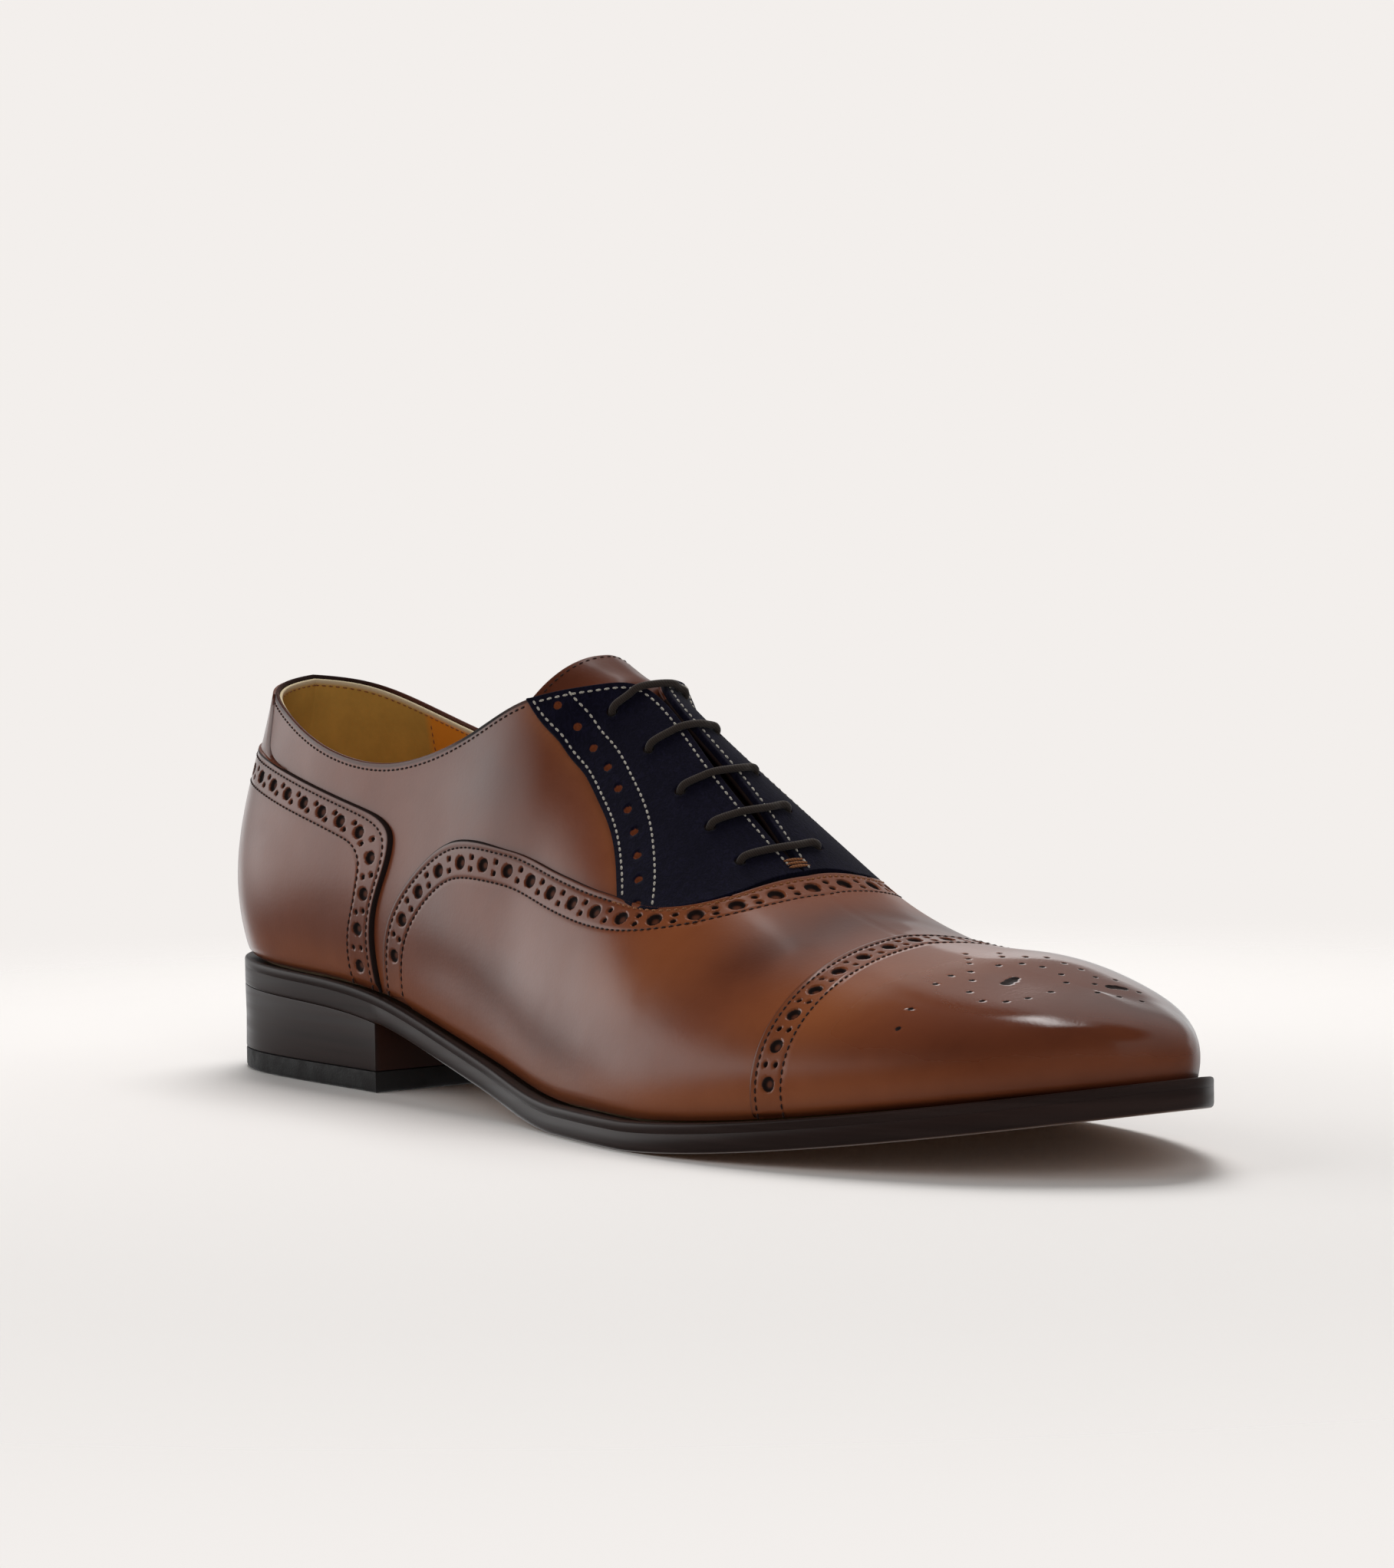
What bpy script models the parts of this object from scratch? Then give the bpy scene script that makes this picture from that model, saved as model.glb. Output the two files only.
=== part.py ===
"""Half brogue oxford, a right shoe standing empty on its sole.

The last is a ring of ribs. A rib is one cubic curve that rises from the feather line, where the
upper meets the welt, to the collar, the lacing gap or the spine. Upper, panels, tongue and lace
bars are all read from that one surface, and the sole pieces from the edge line under it.

Tables are in millimetres, x forward from the back of the heel, y to the inner side, z up.
Meshes are in metres, with the origin under the middle of the shoe's box.
"""

import bmesh
import bpy
import numpy as np

MM = 0.001

# Driving dimensions, mm
ORIGIN = (151.25, -1.9, 0.0)
GAP = 0.3
WALL = 1.8
PANEL = 0.9
PANEL_LIFT = 0.65
PANEL_FOOT = 0.015
SPINE_SNAP = 0.985
SOLE = 5.9
WELT = 2.0
INSOLE_RISE = 2.5
INSOLE_CLEAR = 0.5
TOP_LIFT = 4.6
BREAST_RIB = 4.1
HEEL_RIBS = (0.25, 0.75)
FLAT_BACK = 165.0
FLAT_FRONT = 195.0
TIP_X = 301.3
TOE_SPRING = 12.6
SPRING_POWER = 1.45
SWING_FROM = 216.0
SWING_TO = 275.6
TOE_SWING = 4.5
SWING_POWER = 1.5
THROAT_RIB = 10.72
TONGUE = 1.6
TONGUE_DEPTH = WALL + 0.5
LACE_RADIUS = 1.1
WELD = 0.01
SHARP_DEG = 35.0
RISE_POWER = 0.92

# One row for each rib, heel back to toe tip, the same on both sides:
# edge_x, lateral, medial  where the sole's edge runs
# ledge                    sole edge to upper
# top_x, half, top_z       the rib's upper end; half is the collar's or the gap's half width
# low_out, low_up          handle at the feather line, outward and up
# high_out, high_up        handle at the upper end
# fall, tilt               slope of the spine, and how much higher the inner side lies
RIB_COLUMNS = ("edge_x", "lateral", "medial", "ledge", "top_x", "half", "top_z",
               "low_out", "low_up", "high_out", "high_up", "fall", "tilt")
RIBS = np.array([
    (2.7, 0.0, 0.0, 2.6, 10.8, 0.0, 86.4, 7.0, 22.0, 4.0, -20.0, 0.0, 0.0),
    (9.0, -17.0, 17.0, 2.6, 14.8, 11.0, 84.8, 7.0, 22.0, 4.0, -20.0, 0.0, 0.0),
    (26.0, -26.4, 26.4, 2.6, 29.0, 19.0, 79.6, 7.0, 22.0, 3.5, -20.0, 0.0, 0.0),
    (50.0, -29.3, 28.4, 2.6, 51.0, 23.2, 72.6, 5.5, 22.0, 3.0, -18.0, 0.0, 0.0),
    (78.0, -30.5, 26.6, 2.8, 78.0, 23.8, 69.8, 3.5, 24.0, 3.0, -18.0, 0.0, 0.0),
    (102.0, -32.2, 24.8, 3.0, 104.0, 22.5, 76.0, 3.5, 26.0, 4.0, -18.0, 0.0, 0.0),
    (118.0, -34.2, 25.6, 3.3, 122.0, 20.0, 84.0, 3.5, 28.0, 6.0, -17.0, 0.0, 0.0),
    (130.0, -36.2, 27.2, 3.6, 134.0, 11.0, 87.4, 3.5, 29.5, 12.0, -10.0, 0.0, 0.05),
    (142.0, -39.0, 30.0, 3.9, 143.0, 1.4, 85.8, 3.5, 29.5, 20.0, -5.0, 0.0, 0.12),
    (160.0, -43.6, 35.4, 4.1, 162.0, 1.3, 72.3, 3.5, 27.5, 22.0, -3.0, -0.3, 0.16),
    (180.0, -47.8, 41.6, 4.3, 179.0, 1.2, 59.4, 3.5, 24.5, 24.0, -1.5, -0.5, 0.12),
    (200.0, -50.2, 45.4, 4.4, 196.0, 0.0, 47.6, 4.0, 20.5, 26.5, 0.0, -0.4, 0.04),
    (222.0, -49.0, 46.4, 4.5, 216.0, 0.0, 40.6, 4.0, 17.5, 27.5, 0.0, -0.25, 0.0),
    (243.0, -44.2, 43.4, 4.6, 235.0, 0.0, 37.0, 4.0, 15.5, 26.5, 0.0, -0.17, 0.04),
    (262.0, -37.2, 37.2, 4.7, 252.0, 0.0, 35.0, 4.0, 14.5, 24.5, 0.0, -0.12, 0.13),
    (279.5, -27.2, 28.6, 4.7, 265.5, 0.0, 34.2, 3.5, 13.5, 20.5, 0.0, -0.08, 0.14),
    (292.0, -15.0, 18.8, 4.7, 272.5, 0.0, 33.6, 3.0, 12.5, 16.5, 0.0, -0.10, 0.08),
    (299.0, -5.5, 11.2, 4.7, 275.0, 0.0, 33.4, 3.0, 11.5, 16.0, 0.0, -0.12, 0.03),
    (TIP_X, 3.3, 3.3, 4.7, 275.6, 0.0, 33.4, 3.0, 11.5, 16.0, 0.0, -0.12, 0.0),
])
TOE = len(RIBS) - 1
RING = 2 * TOE

# Height of the sole's underside from heel to ball: x, z
WAIST = np.array([(-15.0, 19.9), (0.0, 19.4), (40.0, 17.9), (83.0, 14.6), (105.0, 9.8),
                  (130.0, 4.6), (150.0, 1.2), (FLAT_BACK, 0.0), (182.0, 0.0)])

# Panels on the lateral half, a row for each rung from a panel's lower seam to its upper seam:
# low_rib, low_rise, high_rib, high_rise, bow   rise is the share of the way up a rib, and bow
#                                               bends the rung along the shoe
TOE_CAP_RUNGS = ((12.45, PANEL_FOOT, 12.30, 1.0, 0.0), (18.0, PANEL_FOOT, 18.0, 1.0, 0.0))
VAMP_RUNGS = (
    (4.25, PANEL_FOOT, 5.05, 0.575, -0.33),
    (4.75, PANEL_FOOT, 5.32, 0.586, -0.20),
    (5.3, PANEL_FOOT, 5.6, 0.573, -0.08),
    (6.0, PANEL_FOOT, 6.05, 0.536, 0.0),
    (7.0, PANEL_FOOT, 6.95, 0.475, 0.0),
    (8.0, PANEL_FOOT, 8.05, 0.462, 0.0),
    (8.8, PANEL_FOOT, 8.9, 0.50, 0.0),
    (9.6, PANEL_FOOT, 9.68, 0.545, 0.0),
    (10.2, PANEL_FOOT, 10.2, 0.585, 0.0),
    (10.7, PANEL_FOOT, 10.56, 0.675, 0.0),
    (11.1, PANEL_FOOT, 10.75, 0.78, 0.0),
    (11.4, PANEL_FOOT, 10.78, 0.88, 0.0),
    (11.7, PANEL_FOOT, 10.78, 1.0, 0.0),
    (12.0, PANEL_FOOT, 11.5, 1.0, 0.0),
    (12.42, PANEL_FOOT, 12.27, 1.0, 0.0),
)
COUNTER_RUNGS = (
    (0.0, PANEL_FOOT, 0.0, 0.765, 0.0),
    (1.0, PANEL_FOOT, 1.0, 0.775, 0.0),
    (2.0, PANEL_FOOT, 2.0, 0.80, 0.0),
    (3.0, PANEL_FOOT, 3.0, 0.832, 0.0),
    (3.55, PANEL_FOOT, 3.65, 0.82, 0.04),
    (3.98, PANEL_FOOT, 4.10, 0.735, 0.12),
)
FACING_RUNGS = (
    (6.34, 0.98, 6.42, 1.0, 0.0),
    (6.95, 0.825, 7.2, 1.0, 0.0),
    (7.7, 0.732, 7.9, 1.0, 0.0),
    (8.4, 0.70, 8.5, 1.0, 0.0),
    (8.9, 0.672, 9.0, 1.0, 0.0),
    (9.3, 0.625, 9.4, 1.0, 0.0),
    (9.6, 0.572, 9.75, 1.0, 0.0),
    (10.04, 0.613, 10.1, 1.0, 0.0),
    (10.38, 0.70, 10.35, 1.0, 0.0),
    (10.58, 0.81, 10.5, 1.0, 0.0),
    (10.64, 0.95, 10.62, 1.0, 0.0),
)

# Panels: name, finish, grid columns and rows, rungs, sides of the shoe
BOTH = ("lateral", "medial")
PANELS = (
    ("toe_cap", "toe_cap", 13, 10, TOE_CAP_RUNGS, BOTH),
    ("vamp", "vamp", 28, 7, VAMP_RUNGS, BOTH),
    ("counter", "counter", 10, 8, COUNTER_RUNGS, BOTH),
    ("facing_lateral", "facing", 20, 4, FACING_RUNGS, ("lateral",)),
    ("facing_medial", "facing", 20, 4, FACING_RUNGS, ("medial",)),
)
UPPER_ROWS = 13
TONGUE_COLUMNS = 10

# Tongue: ribs it lies under, how far down it reaches, and its free end as back, up, width
TONGUE_RIBS = (10.55, 10.1, 9.6, 9.1, 8.6, 8.1)
TONGUE_REACH = 0.79
TONGUE_END = ((5.0, 1.9, 1.0), (10.0, 4.2, 0.98), (15.0, 7.4, 0.94), (19.0, 10.3, 0.8))

# Lace bars from the top down: rib, and how far down each facing the bar reaches
LACE_RIBS = (7.95, 8.62, 9.2, 9.8, 10.38)
LACE_REACH = 0.87

COLOURS = {
    "upper": ((0.22, 0.098, 0.055), 0.42),
    "toe_cap": ((0.19, 0.072, 0.035), 0.32),
    "vamp": ((0.23, 0.100, 0.055), 0.38),
    "counter": ((0.20, 0.085, 0.048), 0.38),
    "facing": ((0.012, 0.013, 0.027), 0.9),
    "tongue": ((0.20, 0.085, 0.045), 0.45),
    "insole": ((0.45, 0.30, 0.12), 0.6),
    "welt": ((0.045, 0.035, 0.032), 0.45),
    "outsole": ((0.035, 0.026, 0.024), 0.45),
    "heel": ((0.030, 0.023, 0.022), 0.42),
    "top_lift": ((0.014, 0.013, 0.013), 0.7),
    "lace": ((0.030, 0.022, 0.019), 0.65),
}


def column(name):
    """One column of the rib table."""
    return RIBS[:, RIB_COLUMNS.index(name)]


def around(lateral, medial):
    """Table values once round the shoe: heel back, lateral side, toe tip, medial side."""
    return np.concatenate([lateral, medial[TOE - 1:0:-1]])


def ring_spline(rows, u):
    """Smooth closed curve through the rows at whole u, with its slope: (point, slope)."""
    count = len(rows)
    links = np.roll(np.eye(count), 1, axis=0) + np.roll(np.eye(count), -1, axis=0)
    ahead = np.roll(rows, -1, axis=0)
    slopes = np.linalg.solve(4.0 * np.eye(count) + links, 3.0 * (ahead - np.roll(rows, 1, axis=0)))
    u = np.mod(np.asarray(u, float), count)
    k = np.floor(u).astype(int) % count
    f = (u - np.floor(u))[..., None]
    a, b = rows[k], ahead[k]
    da, db = slopes[k], np.roll(slopes, -1, axis=0)[k]
    point = a * (1 + 2 * f) * (1 - f) ** 2 + da * f * (1 - f) ** 2 + b * f * f * (3 - 2 * f) - db * f * f * (1 - f)
    slope = (b - a) * 6 * f * (1 - f) + da * (1 - 4 * f + 3 * f * f) + db * (3 * f * f - 2 * f)
    return point, slope


def open_spline(knots, rows, x):
    """Natural cubic spline through rows at the given knots."""
    knots = np.asarray(knots, float)
    rows = np.asarray(rows, float)
    step = np.diff(knots)
    count = len(knots)
    system = np.eye(count)
    pull = np.zeros(rows.shape)
    rate = np.diff(rows, axis=0) / step.reshape((-1,) + (1,) * (rows.ndim - 1))
    for i in range(1, count - 1):
        system[i, i - 1:i + 2] = step[i - 1], 2 * (step[i - 1] + step[i]), step[i]
        pull[i] = 6 * (rate[i] - rate[i - 1])
    bend = np.linalg.solve(system, pull)
    i = np.clip(np.searchsorted(knots, x) - 1, 0, count - 2)
    shape = np.shape(x) + (1,) * (rows.ndim - 1)
    h = step[i].reshape(shape)
    a = (knots[i + 1] - x).reshape(shape)
    b = (x - knots[i]).reshape(shape)
    curve = (bend[i] * a ** 3 + bend[i + 1] * b ** 3) / (6 * h)
    return curve + (rows[i] / h - bend[i] * h / 6) * a + (rows[i + 1] / h - bend[i + 1] * h / 6) * b


EDGE = np.stack([around(column("edge_x"), column("edge_x")), around(column("lateral"), column("medial"))], axis=-1)
TILT = around(-column("tilt"), column("tilt"))
RIB_TABLE = np.stack([around(column(name), column(name)) for name in RIB_COLUMNS[3:12]] + [TILT], axis=-1)


def sole_bottom(x):
    """Height of the sole's underside: arch behind the ball, flat at the ball, spring at the toe."""
    x = np.asarray(x, float)
    arch = open_spline(WAIST[:, 0], WAIST[:, 1], np.minimum(x, FLAT_BACK))
    run = np.maximum(x - FLAT_FRONT, 0.0) / (TIP_X - FLAT_FRONT)
    return np.where(x < FLAT_BACK, arch, TOE_SPRING * run ** SPRING_POWER)


def sole_edge(u, inset):
    """Sole edge in plan, moved inward by inset, and its outward normal."""
    point, slope = ring_spline(EDGE, u)
    normal = np.stack([slope[..., 1], -slope[..., 0]], axis=-1)
    normal = normal / np.linalg.norm(normal, axis=-1, keepdims=True)
    return point - np.asarray(inset)[..., None] * normal, normal


def spine_y(x):
    """The middle line bends to the inner side ahead of the ball."""
    run = np.clip((x - SWING_FROM) / (SWING_TO - SWING_FROM), 0.0, 1.0)
    return TOE_SWING * run ** SWING_POWER


def last_point(u, v):
    """Point on the upper's outer face at rib u and rise v."""
    u, v = np.broadcast_arrays(np.asarray(u, float), np.asarray(v, float))
    values = np.moveaxis(ring_spline(RIB_TABLE, u)[0], -1, 0)
    ledge, top_x, half, top_z, low_out, low_up, high_out, high_up, fall, tilt = values
    foot, normal = sole_edge(u, ledge)
    lap = np.mod(u, RING)
    half = np.where(np.abs(lap - TOE) <= TOE - THROAT_RIB, 0.0, np.maximum(half, 0.0))
    top_y = spine_y(top_x) + half * np.where(lap < TOE, -1.0, 1.0)
    start = np.stack([foot[..., 0], foot[..., 1], sole_bottom(foot[..., 0]) + SOLE + GAP], axis=-1)
    end = np.stack([top_x, top_y, top_z], axis=-1)
    low = start + np.stack([low_out * normal[..., 0], low_out * normal[..., 1], low_up], axis=-1)
    lift = high_up + high_out * (fall * normal[..., 0] + tilt * np.abs(normal[..., 1]))
    high = end + np.stack([high_out * normal[..., 0], high_out * normal[..., 1], lift], axis=-1)
    v = v[..., None]
    w = 1.0 - v
    return start * w ** 3 + 3 * low * w * w * v + 3 * high * w * v * v + end * v ** 3


def last_normal(u, v):
    """Outward normal of the last, from its two slopes."""
    step = 0.01
    v = np.minimum(v, 1.0 - step)
    along = last_point(u + step, v) - last_point(u - step, v)
    up = last_point(u, v + step) - last_point(u, v - step)
    normal = np.cross(along, up)
    return normal / np.linalg.norm(normal, axis=-1, keepdims=True)


def panel_place(rungs, s, t):
    """Rib and rise on a panel: s runs along its seams and t up its rungs."""
    rungs = np.array(rungs)
    level = s * (len(rungs) - 1)
    row = np.stack([np.interp(level, np.arange(len(rungs)), values) for values in rungs.T], axis=-1)
    t = t[:, None]
    place = row[:, 0:2] * (1 - t) + row[:, 2:4] * t
    place[:, 0] += 4 * (row[:, 4:5] * t * (1 - t))[:, 0]
    place[:, 1] = np.where(place[:, 1] > SPINE_SNAP, 1.0, place[:, 1])
    return place


def material(kind):
    """Plain finish of one kind of piece."""
    name = "oxford_" + kind
    found = bpy.data.materials.get(name)
    if found:
        return found
    finish = bpy.data.materials.new(name)
    finish.use_nodes = True
    shader = finish.node_tree.nodes["Principled BSDF"]
    colour, roughness = COLOURS[kind]
    shader.inputs["Base Color"].default_value = (*colour, 1.0)
    shader.inputs["Roughness"].default_value = roughness
    shader.inputs["Metallic"].default_value = 0.0
    return finish


def add_grid(bm, columns, rows, place):
    """Grid whose points are put where place(s, t) says, both 0 to 1."""
    made = bmesh.ops.create_grid(bm, x_segments=columns, y_segments=rows, size=1.0)["verts"]
    share = np.array([(0.5 + 0.5 * vert.co.x, 0.5 + 0.5 * vert.co.y) for vert in made])
    share = np.round(share * (columns, rows)) / (columns, rows)
    points = (place(share[:, 0], share[:, 1]) - ORIGIN) * MM
    for vert, point in zip(made, points):
        vert.co = point
    return made


def weld(bm):
    """Join points that coincide, at seams and at the ends where a row closes to a point."""
    bmesh.ops.remove_doubles(bm, verts=bm.verts, dist=WELD * MM)
    bmesh.ops.dissolve_degenerate(bm, edges=bm.edges, dist=WELD * MM)
    bm.normal_update()


def finish_object(name, kind, bm, collection, root):
    """Turn a bmesh into a named object of the shoe."""
    mesh = bpy.data.meshes.new(name)
    bm.to_mesh(mesh)
    bm.free()
    mesh.shade_smooth()
    mesh.set_sharp_from_angle(angle=np.radians(SHARP_DEG))
    mesh.materials.append(material(kind))
    piece = bpy.data.objects.new(name, mesh)
    piece.parent = root
    collection.objects.link(piece)
    return piece


def thicken(piece, thickness, offset):
    """Give an open surface its wall; offset -1 grows it inward and 1 outward."""
    wall = piece.modifiers.new("wall", "SOLIDIFY")
    wall.thickness = thickness * MM
    wall.offset = offset


def extrude_to(bm, heights):
    """Close a plate: a copy of its faces at the height that heights(x) gives."""
    faces = list(bm.faces)
    made = bmesh.ops.extrude_face_region(bm, geom=faces, use_keep_orig=True)["geom"]
    fresh = [item for item in made if isinstance(item, bmesh.types.BMVert)]
    x = np.array([vert.co.x for vert in fresh]) / MM + ORIGIN[0]
    for vert, z in zip(fresh, heights(x)):
        vert.co.z = (z - ORIGIN[2]) * MM
    bmesh.ops.recalc_face_normals(bm, faces=bm.faces)


def plate(name, kind, setting, ribs, across, inset, top, bottom):
    """Plate inside the sole's edge: straight rungs from the lateral to the medial side."""
    ribs = np.asarray(ribs, float)

    def place(s, t):
        u = ribs[np.round(s * (len(ribs) - 1)).astype(int)]
        lateral = sole_edge(u, inset(u))[0]
        medial = sole_edge(RING - u, inset(RING - u))[0]
        flat = lateral + t[:, None] * (medial - lateral)
        return np.column_stack([flat, top(flat[:, 0])])

    bm = bmesh.new()
    add_grid(bm, len(ribs) - 1, across, place)
    weld(bm)
    extrude_to(bm, bottom)
    return finish_object(name, kind, bm, *setting)


def ledge_at(u):
    """Distance from the sole's edge to the upper."""
    return ring_spline(RIB_TABLE[:, :1], u)[0][..., 0]


def make_upper(setting):
    """The lasted body: one wall, open at the collar, the lacing gap and underneath."""
    def place(s, t):
        return last_point(s * RING, t ** RISE_POWER)

    bm = bmesh.new()
    add_grid(bm, 2 * RING, UPPER_ROWS, place)
    weld(bm)
    thicken(finish_object("upper", "upper", bm, *setting), WALL, -1)


def make_panel(name, kind, columns, rows, rungs, sides, setting):
    """Panel laid on the upper between its seams, on the lateral side, the medial side or both."""
    def lateral(s, t):
        place = panel_place(rungs, s, t)
        return last_point(place[:, 0], place[:, 1])

    def medial(s, t):
        place = panel_place(rungs, 1 - s, t)
        return last_point(RING - place[:, 0], place[:, 1])

    bm = bmesh.new()
    for side, place in (("lateral", lateral), ("medial", medial)):
        if side in sides:
            add_grid(bm, columns, rows, place)
    weld(bm)
    for vert in bm.verts:
        vert.co += vert.normal * PANEL_LIFT * MM
    thicken(finish_object(name, kind, bm, *setting), PANEL, 1)


def tongue_row(rib, share, depth):
    """Points across the tongue under one rib; share runs 0 to 1 from lateral to medial."""
    side = np.abs(2 * share - 1)
    u = np.where(share <= 0.5, rib, RING - rib)
    v = 1.0 - (1.0 - TONGUE_REACH) * side
    return last_point(u, v) - depth * last_normal(u, v)


def make_tongue(setting):
    """Tongue under the facings, with a free end that leans back above them."""
    count = len(TONGUE_RIBS) + len(TONGUE_END)

    def place(s, t):
        points = np.zeros((len(s), 3))
        level = np.round(t * (count - 1)).astype(int)
        for k, rib in enumerate(TONGUE_RIBS):
            here = level == k
            points[here] = tongue_row(rib, s[here], TONGUE_DEPTH)
        for k, (back, up, width) in enumerate(TONGUE_END):
            here = level == k + len(TONGUE_RIBS)
            narrow = 0.5 + (s[here] - 0.5) * width
            points[here] = tongue_row(TONGUE_RIBS[-1], narrow, TONGUE_DEPTH) + (-back, 0.0, up)
        return points

    bm = bmesh.new()
    add_grid(bm, TONGUE_COLUMNS, count - 1, place)
    weld(bm)
    thicken(finish_object("tongue", "tongue", bm, *setting), TONGUE, -1)


def make_lace_bar(number, rib, setting):
    """One straight bar of lace over both facings, ending at its eyelets."""
    collection, root = setting
    share = np.linspace(1.0, LACE_REACH, 4)
    lift = PANEL_LIFT + PANEL + GAP + LACE_RADIUS
    lateral = last_point(rib, share[::-1]) + lift * last_normal(rib, share[::-1])
    medial = last_point(RING - rib, share) + lift * last_normal(RING - rib, share)
    route = (np.concatenate([lateral, medial]) - ORIGIN) * MM
    curve = bpy.data.curves.new("lace_route_%d" % number, "CURVE")
    curve.dimensions = "3D"
    spline = curve.splines.new("POLY")
    spline.points.add(len(route) - 1)
    spline.points.foreach_set("co", np.column_stack([route, np.ones(len(route))]).ravel())
    curve.bevel_depth = LACE_RADIUS * MM
    curve.bevel_resolution = 2
    curve.use_fill_caps = True
    curve.materials.append(material("lace"))
    bar = bpy.data.objects.new("lace_bar_%d" % number, curve)
    bar.parent = root
    collection.objects.link(bar)


def make_sole(setting):
    """Outsole, welt, insole, heel stack and top lift, each 0.3 mm from the next."""
    all_ribs = np.unique(np.concatenate([np.linspace(0.0, TOE, RING + 1), HEEL_RIBS]))
    heel_ribs = np.concatenate([all_ribs[all_ribs < int(BREAST_RIB)], [BREAST_RIB]])
    flush = np.zeros_like

    def sole_top(x):
        return sole_bottom(x) + SOLE

    def outsole_top(x):
        return sole_top(x) - WELT - GAP

    def within_upper(u):
        return ledge_at(u) + WALL + INSOLE_CLEAR

    def stack_top(x):
        return sole_bottom(x) - GAP

    plate("outsole", "outsole", setting, all_ribs, 3, flush, outsole_top, sole_bottom)
    plate("insole", "insole", setting, all_ribs, 3, within_upper,
          lambda x: sole_top(x) + INSOLE_RISE, lambda x: outsole_top(x) + 2 * GAP)
    plate("heel_stack", "heel", setting, heel_ribs, 4, flush, stack_top,
          lambda x: np.full_like(x, TOP_LIFT + GAP))
    plate("heel_top_lift", "top_lift", setting, heel_ribs, 4, flush,
          lambda x: np.full_like(x, TOP_LIFT), np.zeros_like)

    def place_welt(s, t):
        u = s * RING
        flat = sole_edge(u, t * (ledge_at(u) + WALL))[0]
        return np.column_stack([flat, sole_top(flat[:, 0])])

    bm = bmesh.new()
    add_grid(bm, 2 * RING, 1, place_welt)
    weld(bm)
    extrude_to(bm, lambda x: sole_top(x) - WELT)
    finish_object("welt", "welt", bm, *setting)


def main():
    """Build the shoe."""
    for old in list(bpy.data.objects):
        bpy.data.objects.remove(old, do_unlink=True)
    collection = bpy.data.collections.new("half_brogue_oxford")
    bpy.context.scene.collection.children.link(collection)
    root = bpy.data.objects.new("shoe", None)
    collection.objects.link(root)
    setting = (collection, root)

    make_upper(setting)
    for panel in PANELS:
        make_panel(*panel, setting)
    make_tongue(setting)
    make_sole(setting)
    for number, rib in enumerate(LACE_RIBS, start=1):
        make_lace_bar(number, rib, setting)


main()
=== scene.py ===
"""Looks of a half brogue oxford, a right shoe seen from its outer side.

Every leather and cloth piece is read from one surface, the last: a ring of ribs, each a cubic curve
from the feather line up to the collar, the lacing gap or the spine. A place on it is a rib u, counted
round the shoe from the back of the heel, and a rise v, the share of the way up that rib.
Tables are in millimetres, x forward from the back of the heel, y to the inner side, z up.
"""

import bmesh
import bpy
import numpy as np
from mathutils import Matrix


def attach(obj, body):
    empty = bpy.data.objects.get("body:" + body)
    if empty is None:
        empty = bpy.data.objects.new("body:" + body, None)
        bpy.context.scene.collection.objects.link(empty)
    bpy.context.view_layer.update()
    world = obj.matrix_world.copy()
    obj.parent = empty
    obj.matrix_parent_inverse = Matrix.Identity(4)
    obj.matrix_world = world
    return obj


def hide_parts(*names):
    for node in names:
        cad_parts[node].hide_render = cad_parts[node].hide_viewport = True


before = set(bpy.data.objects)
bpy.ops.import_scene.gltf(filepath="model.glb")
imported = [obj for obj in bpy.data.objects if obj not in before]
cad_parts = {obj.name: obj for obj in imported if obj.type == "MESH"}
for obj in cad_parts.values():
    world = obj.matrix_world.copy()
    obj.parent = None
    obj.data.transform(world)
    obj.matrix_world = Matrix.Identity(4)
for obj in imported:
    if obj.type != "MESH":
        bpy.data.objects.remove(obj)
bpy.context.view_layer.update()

bl_info = {
    "name": "Half brogue oxford",
    "version": (1, 0, 0),
    "blender": (4, 5, 0),
    "location": "View3D > Sidebar > Oxford",
    "description": "Builds the visible pieces of a half brogue oxford around its packed solids",
    "category": "Object",
}

MM = 0.001
ORIGIN = np.array((151.25, -1.9, 0.0))

# The last, as in the part's own table
GAP = 0.3
SOLE = 5.9
WELT = 2.0
INSOLE_RISE = 2.5
TOP_LIFT = 4.6
BREAST_RIB = 4.1
FLAT_BACK = 165.0
FLAT_FRONT = 195.0
TIP_X = 301.3
TOE_SPRING = 12.6
SPRING_POWER = 1.45
SWING_FROM = 216.0
SWING_TO = 275.6
TOE_SWING = 4.5
SWING_POWER = 1.5
THROAT_RIB = 10.72

# The toe's own shape: how far its top goes down along x, from which height and over how much of it, and how
# much more on the inner side; then how much fuller that side is, where along x, and from which y and z
TOE_FALL = 2.9
FALL_ALONG = (244.0, 298.0)
FALL_FROM = 10.0
FALL_SPAN = 23.0
FALL_INWARD = 0.35
FALL_WIDTH = 12.0
FAR_FULLNESS = 1.4
FULL_AT = 250.0
FULL_WIDTH = 16.0
FULL_ACROSS = (-4.0, 18.0)
FULL_ABOVE = (18.0, 34.0)

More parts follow.
